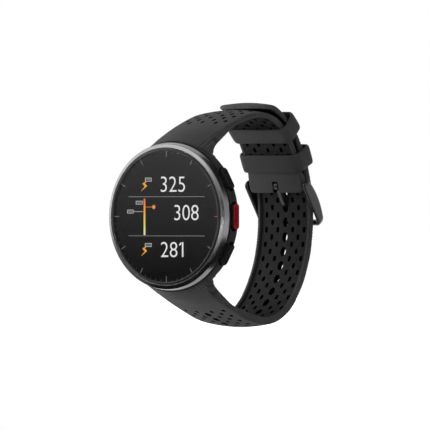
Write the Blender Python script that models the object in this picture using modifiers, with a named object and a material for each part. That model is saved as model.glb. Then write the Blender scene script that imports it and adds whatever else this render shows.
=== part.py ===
"""GPS running watch on its closed strap.

Frame: +X points to 3 o'clock, the dial faces -Y, +Z points to 12 o'clock.
The origin is the middle of the flat sensor window on the case back.
Case pieces are modelled in a local frame whose +Z is the dial's normal and
whose +Y is 12 o'clock; the empty "case_axis" turns that frame into the part's.
All sizes are in metres and degrees.
"""

import math

import bmesh
import bpy
from mathutils import Matrix, Vector, geometry

# Clearances
FIT_GAP = 0.00015
SLIDE_GAP = 0.00025
STRAP_GAP = 0.0003

# Case body, from the back up
CASE_RADIUS = 0.0228
CASE_WALL = 0.0028
CASE_BAND_HEIGHT = 0.0032
CASE_TAPER_HEIGHT = 0.0030
CASE_TAPER_INSET = 0.0032
CASE_BACK_RIM = 0.0014
CASE_LEDGE_THICKNESS = 0.0008
CASE_LEDGE_WIDTH = 0.0036
CASE_TURN_STEPS = 40
INNER_TURN_STEPS = 28

# Back cover, sensor window and their hardware
WINDOW_PROUD = 0.0019
WINDOW_INSET = 0.00295
WINDOW_CHAMFER = 0.0005
WINDOW_FLANGE_WIDTH = 0.0011
WINDOW_FLANGE_THICKNESS = 0.00045
COVER_SEAT_DEPTH = 0.0014
COVER_BULGE = 0.0004
COVER_FLAT_WIDTH = 0.00195
COVER_LAND = 0.00015
SEAL_WIDTH = 0.0005
SEAL_HEIGHT = 0.00045
SENSOR_BOARD_INSET = 0.00105
SENSOR_BOARD_THICKNESS = 0.0006
SCREW_EDGE = 0.0001
SCREW_ANGLES = (45.0, 135.0, 225.0, 315.0)
SCREW_HEAD_RADIUS = 0.0009
SCREW_HEAD_HEIGHT = 0.00045
SCREW_SHANK_RADIUS = 0.0005
CHARGE_PIN_RADIUS = 0.0008
CHARGE_PIN_PITCH = 0.0026
CHARGE_PIN_INSET = 0.0023
CHARGE_PIN_PROUD = 0.0001

# Bezel, glass and display
CASE_SEAM = 0.0002
BEZEL_STEP = 0.0003
BEZEL_RIM = 0.0012
BEZEL_HEIGHT = 0.0029
BEZEL_DRAFT = 0.0005
BEZEL_ROUND = 0.0003
BEZEL_LEDGE_THICKNESS = 0.0010
BEZEL_LEDGE_WIDTH = 0.0011
GLASS_THICKNESS = 0.0012
GLASS_PROUD = 0.0003
GLASS_CHAMFER = 0.0003
GLASS_GROOVE = 0.0003
GASKET_THICKNESS = 0.0003
DISPLAY_MARGIN = 0.0031
DISPLAY_THICKNESS = 0.0010
ANTENNA_WIDTH = 0.0010
ANTENNA_THICKNESS = 0.0008

# Inside the case
CHASSIS_PLAY = 0.0010
CHASSIS_PLATE = 0.0008
CHASSIS_FLANGE = 0.0030
CHASSIS_RING_WALL = 0.0008
BOARD_THICKNESS = 0.0008
BOARD_PART_SPACE = 0.0006
MOTOR_RADIUS = 0.0040
MOTOR_EDGE_GAP = 0.0012
CELL_MOTOR_GAP = 0.00125
CELL_TOP_GAP = 0.00445
CELL_CORNER_GAP = 0.00085

# Buttons: angle from 3 o'clock, length round the case, width, stand-out
BUTTON_WIDTH = 0.0025
BUTTON_TRAVEL = 0.0006
BUTTON_CAP_SINK = 0.0007
BUTTON_EDGE = 0.00025
STEM_RADIUS = 0.0008
STEM_SEAL_WALL = 0.0004
STEM_SEAL_LENGTH = 0.0005
STEM_CLIP_WALL = 0.0008
STEM_CLIP_LENGTH = 0.0004
STEM_TAIL = 0.0007
SWITCH_WIDTH = 0.0036
SWITCH_HEIGHT = 0.0016
OK_LENGTH = 0.0079
OK_PROUD = 0.0008
SIDE_LENGTH = 0.0072
SIDE_PROUD = 0.0008
SIDE_ANGLE = 30.0

# Lugs and spring bars
LUG_WIDTH = 0.0120
LUG_RADIUS = 0.0013
LUG_PIN_SINK = 0.0008
BAR_RADIUS = 0.0006
BAR_BORE_RADIUS = 0.0004
BAR_LENGTH = 0.0198
BAR_TUBE_END = 0.0044
BAR_BORE_START = 0.0004
TIP_SHOULDER = 0.0064
TIP_TAIL_RADIUS = 0.00025
TIP_TAIL_LENGTH = 0.0040
TIP_TRAVEL = 0.0016
KNOB_RADIUS = 0.0005
KNOB_REACH = 0.0024

# Strap section
STRAP_HALF_WIDTH = 0.0100
STRAP_EDGE = 0.0015
STRAP_CROWN = 0.00095
STRAP_END_EDGE = 0.0029
STRAP_END_CROWN = 0.0023
STRAP_BLEND = 0.0160
STRAP_FLARE = 0.0028
STRAP_FLARE_LENGTH = 0.0110
STRAP_FLARE_POWER = 2.0
STRAP_FRONT_DEPTH = 0.0035
STRAP_LEAD_BACK = 0.0050

# Strap path: outer edge line, side view, from the upper lug to the rear
PATH_HEADING = 28.0
PATH_PIN_COVER = 0.0013
PATH_SHOULDER_RADIUS = 0.0950
PATH_SHOULDER_SWEEP = 11.0
PATH_TOP_RADIUS = 0.0360
PATH_CORNER_RADIUS = 0.0184
PATH_CORNER_SWEEP = 55.0

# Long strap lying over the short one
NEST_GAP = 0.0012
NEST_GAP_TAIL = 0.0003
NEST_RISE_HEIGHT = 0.0100
NEST_FALL_HEIGHT = 0.0130
TAIL_OVERLAP = 0.0398
TAIL_ROUND = 0.0070

# Perforation
ROW_PITCH = 0.00215
ROW_FIRST = 0.0175
SLOT_WIDTH = 0.0011
SLOT_LENGTH = 0.0017
HOLE_WIDTH = 0.0025
HOLE_LENGTH = 0.0032
COLUMN_A = 0.00285
COLUMN_B = 0.0072
COLUMN_C = 0.0050

# Buckle
BUCKLE_BAR_HEIGHT = 0.0095
BUCKLE_BAR_RADIUS = 0.00065
BUCKLE_END_REACH = 0.0020
BUCKLE_END_BLEND = 0.0030
BUCKLE_ARM_WIDTH = 0.0014
BUCKLE_ARM_GAP = 0.0004
BUCKLE_EYE_RADIUS = 0.0017
BUCKLE_CROSS_RADIUS = 0.00085
BUCKLE_CROSS_DROP = 0.0016
BUCKLE_ARM_BULGE = 0.0012
TANG_WIDTH = 0.0015
TANG_THICKNESS = 0.0010
TANG_SLOPE = 30.0
TANG_HOLE_HEIGHT = 0.0026
TANG_EYE_WALL = 0.0006
TANG_TIP = 0.0012

# Keepers
KEEPER_BAND = 0.0058
KEEPER_WALL = 0.0010
KEEPER_GAP = 0.0004
KEEPER_ROUND = 0.0017
KEEPER_UPPER_HEADING = 44.5
KEEPER_LOWER_HEADING = 65.5

# Heights in the case frame, measured up from the sensor window
Z_BACK = WINDOW_PROUD
Z_SEAT = Z_BACK + COVER_SEAT_DEPTH
Z_LEDGE = Z_SEAT + CASE_LEDGE_THICKNESS
Z_BAND = Z_BACK + CASE_TAPER_HEIGHT
Z_CASE = Z_BAND + CASE_BAND_HEIGHT
Z_BEZEL = Z_CASE + CASE_SEAM
Z_BEZEL_TOP = Z_BEZEL + BEZEL_HEIGHT
Z_FRONT = Z_BEZEL_TOP + GLASS_PROUD
Z_GLASS = Z_FRONT - GLASS_THICKNESS
Z_GASKET = Z_GLASS - FIT_GAP - GASKET_THICKNESS
Z_BEZEL_LEDGE = Z_GASKET - FIT_GAP
Z_DISPLAY = Z_GLASS - FIT_GAP - DISPLAY_THICKNESS
Z_PLATE_TOP = Z_DISPLAY - FIT_GAP
Z_PLATE = Z_PLATE_TOP - CHASSIS_PLATE
Z_BOARD_TOP = Z_PLATE - BOARD_PART_SPACE
Z_BOARD = Z_BOARD_TOP - BOARD_THICKNESS
Z_CELL = Z_LEDGE + FIT_GAP
Z_CELL_TOP = Z_BOARD - FIT_GAP
Z_COVER_TOP = Z_SEAT - FIT_GAP
Z_FLANGE_TOP = Z_COVER_TOP
Z_FLANGE = Z_FLANGE_TOP - WINDOW_FLANGE_THICKNESS
Z_BUTTON = Z_BAND + CASE_BAND_HEIGHT / 2

# Radii that follow from the sizes above
CASE_BORE = CASE_RADIUS - CASE_WALL
CASE_BACK_RADIUS = CASE_RADIUS - CASE_TAPER_INSET
SEAT_RADIUS = CASE_BACK_RADIUS - CASE_BACK_RIM
LEDGE_BORE = SEAT_RADIUS - CASE_LEDGE_WIDTH
COVER_RADIUS = SEAT_RADIUS - FIT_GAP
SCREW_CIRCLE_RADIUS = COVER_RADIUS - SCREW_EDGE - FIT_GAP - SCREW_HEAD_RADIUS
SEAL_RADIUS = SCREW_CIRCLE_RADIUS - SCREW_HEAD_RADIUS - 2 * FIT_GAP - COVER_LAND - SEAL_WIDTH / 2
CHARGE_PIN_OFFSET = SEAL_RADIUS - CHARGE_PIN_INSET
WINDOW_RADIUS = CHARGE_PIN_OFFSET - WINDOW_INSET
COVER_FLAT_RADIUS = WINDOW_RADIUS + COVER_FLAT_WIDTH
SENSOR_BOARD_RADIUS = WINDOW_RADIUS - SENSOR_BOARD_INSET
BEZEL_RADIUS = CASE_RADIUS - BEZEL_STEP
BEZEL_TOP_RADIUS = BEZEL_RADIUS - BEZEL_DRAFT
GLASS_SEAT_RADIUS = BEZEL_TOP_RADIUS - BEZEL_RIM
GLASS_RADIUS = GLASS_SEAT_RADIUS - GLASS_GROOVE
BEZEL_BORE = GLASS_RADIUS - BEZEL_LEDGE_WIDTH
DISPLAY_RADIUS = GLASS_RADIUS - DISPLAY_MARGIN
CHASSIS_RADIUS = CASE_BORE - CHASSIS_PLAY
CHASSIS_RING_RADIUS = CHASSIS_RADIUS - CHASSIS_FLANGE
RING_BORE = CHASSIS_RING_RADIUS - CHASSIS_RING_WALL
MOTOR_OFFSET = RING_BORE - MOTOR_EDGE_GAP - MOTOR_RADIUS
CELL_LOW_SIDE = MOTOR_RADIUS + CELL_MOTOR_GAP - MOTOR_OFFSET
CELL_HIGH_SIDE = RING_BORE - CELL_TOP_GAP
CELL_HALF_LENGTH = math.sqrt((RING_BORE - CELL_CORNER_GAP) ** 2 - CELL_HIGH_SIDE ** 2)
POCKET_FLOOR = CASE_RADIUS - BUTTON_CAP_SINK - BUTTON_TRAVEL - SLIDE_GAP
STEM_BORE = STEM_RADIUS + FIT_GAP + STEM_SEAL_WALL + FIT_GAP
LUG_PIN_RADIAL = CASE_RADIUS - LUG_PIN_SINK
KNOB_PLACE = LUG_WIDTH / 2 + FIT_GAP + KNOB_RADIUS + TIP_TRAVEL
CASE_DEPTH = Z_FRONT

FINISHES = {
    "glass": ((0.012, 0.012, 0.013), 0.08, 0.0),
    "bezel_metal": ((0.16, 0.16, 0.165), 0.32, 1.0),
    "case_plastic": ((0.016, 0.016, 0.017), 0.42, 0.0),
    "black_metal": ((0.020, 0.020, 0.021), 0.30, 1.0),
    "red_button": ((0.33, 0.008, 0.010), 0.40, 0.0),
    "strap_rubber": ((0.050, 0.050, 0.052), 0.62, 0.0),
    "steel": ((0.55, 0.55, 0.55), 0.30, 1.0),
    "board": ((0.010, 0.070, 0.030), 0.50, 0.0),
    "gold": ((0.75, 0.52, 0.20), 0.30, 1.0),
    "cell_foil": ((0.30, 0.30, 0.31), 0.40, 1.0),
    "seal_rubber": ((0.015, 0.015, 0.015), 0.70, 0.0),
    "dark_resin": ((0.020, 0.018, 0.022), 0.20, 0.0),
}


def clear_scene():
    """Remove every object that the file starts with."""
    for old in list(bpy.data.objects):
        bpy.data.objects.remove(old, do_unlink=True)


def make_collection(name):
    """Return a new collection linked to the scene."""
    made = bpy.data.collections.new(name)
    bpy.context.scene.collection.children.link(made)
    return made


clear_scene()
PARTS = make_collection("gps_running_watch")
CUTTERS = make_collection("cutters")


def make_material(name):
    """Return the Principled material of one finish."""
    colour, roughness, metallic = FINISHES[name]
    made = bpy.data.materials.new(name)
    made.use_nodes = True
    shader = made.node_tree.nodes["Principled BSDF"]
    shader.inputs["Base Color"].default_value = (*colour, 1.0)
    shader.inputs["Roughness"].default_value = roughness
    shader.inputs["Metallic"].default_value = metallic
    return made


MATERIALS = {name: make_material(name) for name in FINISHES}


def add_empty(name, parent=None, location=(0, 0, 0), rotation=(0, 0, 0)):
    """Add an axis empty under a parent; rotation is in degrees."""
    made = bpy.data.objects.new(name, None)
    made.location = location
    made.rotation_euler = [math.radians(a) for a in rotation]
    made.parent = parent
    PARTS.objects.link(made)
    return made


def add_object(name, mesh, finish, parent=None, location=(0, 0, 0), rotation=(0, 0, 0)):
    """Add a mesh as a part, or as a hidden cutter when it has no finish."""
    made = bpy.data.objects.new(name, mesh)
    made.location = location
    made.rotation_euler = [math.radians(a) for a in rotation]
    made.parent = parent
    if finish is None:
        made.hide_render = True
        made.display_type = "WIRE"
        CUTTERS.objects.link(made)
        return made
    mesh.materials.append(MATERIALS[finish])
    PARTS.objects.link(made)
    return made


def turned_mesh(name, profile):
    """Return the edges of a turned section; a section off the axis is closed."""
    count = len(profile)
    on_axis = profile[0][0] == 0.0
    edges = [(i, i + 1) for i in range(count - 1)]
    if not on_axis:
        edges.append((count - 1, 0))
    mesh = bpy.data.meshes.new(name)
    mesh.from_pydata([(r, 0.0, z) for r, z in profile], edges, [])
    return mesh


def turned(name, profile, finish, parent=None, location=(0, 0, 0), rotation=(0, 0, 0),
           steps=CASE_TURN_STEPS):
    """Turn a section about its local Z; it runs down its outer side first."""
    made = add_object(name, turned_mesh(name, profile), finish, parent, location, rotation)
    screw = made.modifiers.new("turn", "SCREW")
    screw.axis = "Z"
    screw.angle = math.tau
    screw.steps = steps
    screw.render_steps = steps
    screw.use_merge_vertices = True
    screw.merge_threshold = 1e-6
    screw.use_smooth_shade = False
    return made


def ring_section(inner, outer, low, high):
    """Return a rectangular section of a ring."""
    return [(outer, high), (outer, low), (inner, low), (inner, high)]


def disc_section(radius, low, high):
    """Return the section of a plain disc."""
    return [(0.0, high), (radius, high), (radius, low), (0.0, low)]


def cylinder_mesh(name, radius, low, high, matrix=None, segments=16):
    """Return a capped cylinder along Z from low to high, moved by a matrix."""
    shape = bmesh.new()
    bmesh.ops.create_cone(shape, cap_ends=True, segments=segments, radius1=radius, radius2=radius,
                          depth=high - low)
    bmesh.ops.translate(shape, verts=shape.verts, vec=(0, 0, (low + high) / 2))
    if matrix is not None:
        bmesh.ops.transform(shape, matrix=matrix, verts=shape.verts)
    mesh = bpy.data.meshes.new(name)
    shape.to_mesh(mesh)
    shape.free()
    return mesh


def box_mesh(name, low, high, matrix=None):
    """Return a box between two corners, moved by a matrix."""
    low, high = Vector(low), Vector(high)
    shape = bmesh.new()
    bmesh.ops.create_cube(shape, size=1.0)
    bmesh.ops.scale(shape, vec=high - low, verts=shape.verts)
    bmesh.ops.translate(shape, verts=shape.verts, vec=(low + high) / 2)
    if matrix is not None:
        bmesh.ops.transform(shape, matrix=matrix, verts=shape.verts)
    mesh = bpy.data.meshes.new(name)
    shape.to_mesh(mesh)
    shape.free()
    return mesh


def outline_mesh(name, outlines, low, high, matrix=None):
    """Extrude flat outlines, the first with the others as holes, from low to high."""
    curve = bpy.data.curves.new(name, "CURVE")
    curve.dimensions = "2D"
    curve.fill_mode = "BOTH"
    curve.extrude = (high - low) / 2
    for outline in outlines:
        spline = curve.splines.new("POLY")
        spline.points.add(len(outline) - 1)
        for point, (u, v) in zip(spline.points, outline):
            point.co = (u, v, 0.0, 1.0)
        spline.use_cyclic_u = True
    holder = bpy.data.objects.new(name, curve)
    CUTTERS.objects.link(holder)
    mesh = bpy.data.meshes.new_from_object(holder.evaluated_get(bpy.context.evaluated_depsgraph_get()))
    bpy.data.objects.remove(holder, do_unlink=True)
    shape = bmesh.new()
    shape.from_mesh(mesh)
    bmesh.ops.remove_doubles(shape, verts=shape.verts, dist=1e-7)
    bmesh.ops.translate(shape, verts=shape.verts, vec=(0, 0, (low + high) / 2))
    if matrix is not None:
        bmesh.ops.transform(shape, matrix=matrix, verts=shape.verts)
    bmesh.ops.recalc_face_normals(shape, faces=shape.faces)
    shape.to_mesh(mesh)
    shape.free()
    mesh.name = name
    return mesh


def boolean(target, other, operation="DIFFERENCE"):
    """Cut one object with another, or join them."""
    modifier = target.modifiers.new(operation.lower(), "BOOLEAN")
    modifier.operation = operation
    modifier.solver = "EXACT"
    modifier.object = other


def soften(target, width, segments=1, angle=40.0):
    """Bevel the sharp edges of a piece."""
    bevel = target.modifiers.new("soften", "BEVEL")
    bevel.width = width
    bevel.segments = segments
    bevel.limit_method = "ANGLE"
    bevel.angle_limit = math.radians(angle)


def arc_points(centre, radius, start, end, count):
    """Return points on an arc, angles in degrees."""
    angles = [math.radians(start + (end - start) * i / (count - 1)) for i in range(count)]
    return [(centre[0] + radius * math.cos(a), centre[1] + radius * math.sin(a)) for a in angles]


def stadium(length, width, count=5):
    """Return a long slot shape with its length along the first axis."""
    half = (length - width) / 2
    right = arc_points((half, 0), width / 2, -90, 90, count)
    left = arc_points((-half, 0), width / 2, 90, 270, count)
    return right + left


def rounded_rectangle(u0, u1, v0, v1, radius, count=4):
    """Return a rectangle with round corners."""
    points = arc_points((u1 - radius, v1 - radius), radius, 0, 90, count)
    points += arc_points((u0 + radius, v1 - radius), radius, 90, 180, count)
    points += arc_points((u0 + radius, v0 + radius), radius, 180, 270, count)
    points += arc_points((u1 - radius, v0 + radius), radius, 270, 360, count)
    return points


def smooth(t):
    """Return the S-shaped blend from 0 to 1."""
    t = min(1.0, max(0.0, t))
    return t * t * (3 - 2 * t)


# Outlines are given as (Y, Z) pairs of the frame they are used in, and extruded along its X
SIDE_VIEW = Matrix(((0, 0, 1, 0), (1, 0, 0, 0), (0, 1, 0, 0), (0, 0, 0, 1)))
ALONG_X = Matrix.Rotation(math.radians(90), 4, "Y")


class StrapPath:
    """Outer edge line of the strap loop in the Y-Z plane.

    A straight lead leaves the upper lug, then arcs turn it over the top and
    down to the rear, where it runs straight down. The lower half is the
    mirror image, and distances run on from the upper to the lower lug.
    """

    def __init__(self):
        heading = math.radians(PATH_HEADING)
        self.pin = Vector((-Z_BACK, LUG_PIN_RADIAL))
        normal = Vector((-math.sin(heading), math.cos(heading)))
        along = Vector((math.cos(heading), math.sin(heading)))
        over_pin = self.pin + normal * PATH_PIN_COVER
        front = STRAP_FRONT_DEPTH - CASE_DEPTH
        self.pin_distance = (over_pin.x - front) / math.cos(heading)
        start = over_pin - along * self.pin_distance
        self.segments = []
        self.add(start, heading, self.pin_distance, None)
        self.turn(PATH_SHOULDER_RADIUS, math.radians(PATH_SHOULDER_SWEEP))
        self.turn(PATH_TOP_RADIUS, heading - math.radians(PATH_SHOULDER_SWEEP))
        self.turn(PATH_CORNER_RADIUS, math.radians(PATH_CORNER_SWEEP))
        self.corner_centre = self.centre(self.segments[-1])
        point, heading = self.segment_end(self.segments[-1])
        self.rear_radius = point.y / math.cos(heading)
        self.turn(self.rear_radius, math.radians(90) + heading)
        self.rear_centre = self.centre(self.segments[-1])
        self.rear_start = self.segments[-1][0]
        self.corner_start = self.segments[-2][0]
        self.half = self.segments[-1][0] + self.segments[-1][3]

    def add(self, point, heading, length, radius):
        """Append one segment: start distance, point, heading, length, radius."""
        distance = self.segments[-1][0] + self.segments[-1][3] if self.segments else 0.0
        self.segments.append((distance, Vector(point), heading, length, radius))

    def turn(self, radius, sweep):
        """Append an arc that bends towards the wrist."""
        point, heading = self.segment_end(self.segments[-1])
        self.add(point, heading, radius * sweep, radius)

    @staticmethod
    def centre(segment):
        """Return the centre of an arc segment."""
        _, point, heading, _, radius = segment
        return point + radius * Vector((math.sin(heading), -math.cos(heading)))

    def on_segment(self, segment, distance):
        """Return the point and heading at a distance along one segment."""
        _, point, heading, _, radius = segment
        if radius is None:
            return point + distance * Vector((math.cos(heading), math.sin(heading))), heading
        turned_to = heading - distance / radius
        return self.centre(segment) + radius * Vector((-math.sin(turned_to), math.cos(turned_to))), turned_to

    def segment_end(self, segment):
        """Return the point and heading at a segment's end."""
        return self.on_segment(segment, segment[3])

    def at(self, distance):
        """Return point, direction and outward normal at a distance from the upper lug."""
        lower = distance > self.half
        near = 2 * self.half - distance if lower else distance
        segment = self.segments[0]
        for candidate in self.segments:
            if near >= candidate[0]:
                segment = candidate
        point, heading = self.on_segment(segment, near - segment[0])
        along = Vector((math.cos(heading), math.sin(heading)))
        normal = Vector((-math.sin(heading), math.cos(heading)))
        if lower:
            return Vector((point.x, -point.y)), Vector((-along.x, along.y)), Vector((normal.x, -normal.y))
        return point, along, normal

    def rear_distance(self, height):
        """Return the distance of the rear arc's point at a height Z."""
        sweep = math.asin(height / self.rear_radius)
        return self.half - self.rear_radius * sweep


PATH = StrapPath()
NEST_PLATEAU = STRAP_CROWN + NEST_GAP + STRAP_EDGE
NEST_TAIL = STRAP_CROWN + NEST_GAP_TAIL + STRAP_EDGE
BAR_DISTANCE = PATH.rear_distance(BUCKLE_BAR_HEIGHT)
SHORT_LENGTH = BAR_DISTANCE + BUCKLE_END_REACH
HOLE_DISTANCE = 2 * PATH.half - PATH.rear_distance(TANG_HOLE_HEIGHT)
LONG_LENGTH = HOLE_DISTANCE + TAIL_OVERLAP


def nest_offset(distance):
    """Return how far the long strap stands out from the path, by its own distance."""
    rise_start = (PATH.segments[1][0] + PATH.segments[2][0]) / 2
    rise_end = 2 * PATH.half - PATH.rear_distance(-NEST_RISE_HEIGHT)
    fall_start = 2 * PATH.half - PATH.rear_distance(NEST_FALL_HEIGHT)
    fall_end = 2 * PATH.half - (PATH.corner_start + PATH.rear_start) / 2
    rise = smooth((distance - rise_start) / (rise_end - rise_start))
    fall = smooth((distance - fall_start) / (fall_end - fall_start))
    return NEST_PLATEAU * rise - (NEST_PLATEAU - NEST_TAIL) * fall


def half_width(distance):
    """Return the strap's half width, wider where it meets the case."""
    left = min(1.0, max(0.0, 1 - distance / STRAP_FLARE_LENGTH))
    return STRAP_HALF_WIDTH + STRAP_FLARE * left ** STRAP_FLARE_POWER


def edge_thickness(distance):
    """Return the strap's thickness under its edge line."""
    blend = smooth((distance - PATH.pin_distance) / STRAP_BLEND)
    return STRAP_END_EDGE + (STRAP_EDGE - STRAP_END_EDGE) * blend


def crown_height(distance):
    """Return how far the strap's middle stands above its edge line."""
    blend = smooth(distance / STRAP_BLEND)
    return STRAP_END_CROWN + (STRAP_CROWN - STRAP_END_CROWN) * blend


def short_surface(x, distance, side):
    """Return the short strap's inner (side 0) or outer (side 1) surface point."""
    point, _, normal = PATH.at(distance)
    ending = smooth((distance - BAR_DISTANCE + BUCKLE_END_REACH + BUCKLE_END_BLEND) / BUCKLE_END_BLEND)
    crown = crown_height(distance) * max(1 - (x / STRAP_HALF_WIDTH) ** 2, -0.6)
    outer = crown + (STRAP_CROWN - crown) * ending
    inner = -edge_thickness(distance) - (BUCKLE_BAR_RADIUS / 2) * ending
    height = outer if side else inner
    place = point + normal * height
    return Vector((x, place.x, place.y))


def long_surface(x, distance, side):
    """Return the long strap's inner (side 0) or outer (side 1) surface point."""
    point, _, normal = PATH.at(2 * PATH.half - distance)
    crown = crown_height(distance) * max(1 - (x / STRAP_HALF_WIDTH) ** 2, -0.6)
    height = nest_offset(distance) + (crown if side else -edge_thickness(distance))
    place = point + normal * height
    return Vector((x, place.x, place.y))


def strap_outline(length, tail_round):
    """Return the flat outline of a strap: flared at the case, square or round at its end."""
    flare = [STRAP_FLARE_LENGTH * i / 8 for i in range(9)]
    right = [(half_width(0.0), -STRAP_LEAD_BACK)] + [(half_width(d), d) for d in flare]
    straight = length - STRAP_FLARE_LENGTH - tail_round
    steps = max(2, round(straight / (2 * ROW_PITCH)))
    right += [(STRAP_HALF_WIDTH, STRAP_FLARE_LENGTH + straight * i / steps) for i in range(1, steps + 1)]
    middle = []
    if tail_round > 0:
        angles = [math.radians(90 * i / 6) for i in range(1, 6)]
        right += [(STRAP_HALF_WIDTH * math.cos(a), length - tail_round * (1 - math.sin(a))) for a in angles]
        middle = [(0.0, length)]
    return right + middle + [(-x, d) for x, d in reversed(right)]


def slot(x, distance):
    """Return one small slot of the perforation."""
    u, v = SLOT_WIDTH / 2, SLOT_LENGTH / 2
    return [(x - u, distance - v), (x + u, distance - v), (x + u, distance + v), (x - u, distance + v)]


def adjusting_hole(distance):
    """Return one oval adjusting hole."""
    angles = [math.tau * (i + 0.5) / 8 for i in range(8)]
    return [(HOLE_WIDTH / 2 * math.cos(a) / math.cos(math.pi / 8),
             distance + HOLE_LENGTH / 2 * math.sin(a) / math.cos(math.pi / 8)) for a in angles]


def perforation(anchor, last, with_holes):
    """Return the slots of one strap, in rows counted from an anchor row."""
    outlines = []
    first_row = math.ceil((ROW_FIRST - anchor) / ROW_PITCH)
    last_row = math.floor((last - anchor) / ROW_PITCH)
    for row in range(first_row, last_row + 1):
        distance = anchor + row * ROW_PITCH
        if row % 2:
            columns = (-COLUMN_B, -COLUMN_A, COLUMN_A, COLUMN_B)
        elif with_holes:
            columns = (-COLUMN_C, COLUMN_C)
            outlines.append(adjusting_hole(distance))
        else:
            columns = (-COLUMN_C, 0.0, COLUMN_C)
        outlines += [slot(x, distance) for x in columns]
    return outlines


def inside(point, outline):
    """Return whether a flat point lies inside an outline."""
    x, y = point
    hit = False
    for (x0, y0), (x1, y1) in zip(outline, outline[1:] + outline[:1]):
        if (y0 > y) != (y1 > y) and x < x0 + (y - y0) * (x1 - x0) / (y1 - y0):
            hit = not hit
    return hit


def strap_mesh(name, outlines, surface):
    """Triangulate a flat perforated strip and carry it onto a strap's two surfaces."""
    scale = 1000.0
    points, edges = [], []
    for outline in outlines:
        first = len(points)
        count = len(outline)
        points += [Vector((u, v)) * scale for u, v in outline]
        edges += [(first + i, first + (i + 1) % count) for i in range(count)]
    for row in range(1, int(ROW_FIRST / (2 * ROW_PITCH))):
        for share in (-0.6, 0.0, 0.6):
            points.append(Vector((share * STRAP_HALF_WIDTH, 2 * row * ROW_PITCH)) * scale)
    flat, _, faces, _, _, _ = geometry.delaunay_2d_cdt(points, edges, [], 1, 1e-5)
    holes = [[Vector(p) * scale for p in outline] for outline in outlines[1:]]
    shape = bmesh.new()
    layers = []
    for side in (1, 0):
        layers.append([shape.verts.new(surface(p.x / scale, p.y / scale, side)) for p in flat])
    border = {}
    for face in faces:
        middle = sum((flat[i] for i in face), Vector((0.0, 0.0))) / len(face)
        if any((middle - h[0]).length < 4 and inside(middle, h) for h in holes):
            continue
        shape.faces.new([layers[0][i] for i in face])
        shape.faces.new([layers[1][i] for i in reversed(face)])
        for a, b in zip(face, list(face[1:]) + [face[0]]):
            if (b, a) in border:
                del border[(b, a)]
            else:
                border[(a, b)] = True
    for a, b in border:
        shape.faces.new([layers[0][b], layers[0][a], layers[1][a], layers[1][b]])
    bmesh.ops.delete(shape, geom=[v for v in shape.verts if not v.link_faces], context="VERTS")
    bmesh.ops.triangulate(shape, faces=shape.faces)
    bmesh.ops.recalc_face_normals(shape, faces=shape.faces)
    mesh = bpy.data.meshes.new(name)
    shape.to_mesh(mesh)
    shape.free()
    return mesh


def build_case(case_axis):
    """Model the case body, bezel, glass and back."""
    case = turned("mid_case", [
        (BEZEL_RADIUS, Z_CASE),
        (CASE_RADIUS, Z_CASE - (CASE_RADIUS - BEZEL_RADIUS)),
        (CASE_RADIUS, Z_BAND),
        (CASE_BACK_RADIUS, Z_BACK),
        (SEAT_RADIUS, Z_BACK),
        (SEAT_RADIUS, Z_SEAT),
        (LEDGE_BORE, Z_SEAT),
        (LEDGE_BORE, Z_LEDGE),
        (CASE_BORE, Z_LEDGE),
        (CASE_BORE, Z_CASE),
    ], "case_plastic", case_axis)
    turned("bezel_ring", [
        (BEZEL_TOP_RADIUS - BEZEL_ROUND, Z_BEZEL_TOP),
        (BEZEL_TOP_RADIUS, Z_BEZEL_TOP - BEZEL_ROUND),
        (BEZEL_RADIUS, Z_BEZEL),
        (CASE_BORE, Z_BEZEL),
        (CASE_BORE, Z_BEZEL_LEDGE - BEZEL_LEDGE_THICKNESS),
        (BEZEL_BORE, Z_BEZEL_LEDGE - BEZEL_LEDGE_THICKNESS),
        (BEZEL_BORE, Z_BEZEL_LEDGE),
        (GLASS_SEAT_RADIUS, Z_BEZEL_LEDGE),
        (GLASS_SEAT_RADIUS, Z_BEZEL_TOP),
    ], "bezel_metal", case_axis)
    turned("cover_glass", [
        (0.0, Z_FRONT),
        (GLASS_RADIUS - GLASS_CHAMFER, Z_FRONT),
        (GLASS_RADIUS, Z_FRONT - GLASS_CHAMFER),
        (GLASS_RADIUS, Z_GLASS),
        (0.0, Z_GLASS),
    ], "glass", case_axis)
    turned("glass_gasket", ring_section(BEZEL_BORE, GLASS_RADIUS, Z_GASKET, Z_GASKET + GASKET_THICKNESS),
           "seal_rubber", case_axis, steps=INNER_TURN_STEPS)
    build_lugs(case, case_axis)
    build_back(case, case_axis)
    return case


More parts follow.
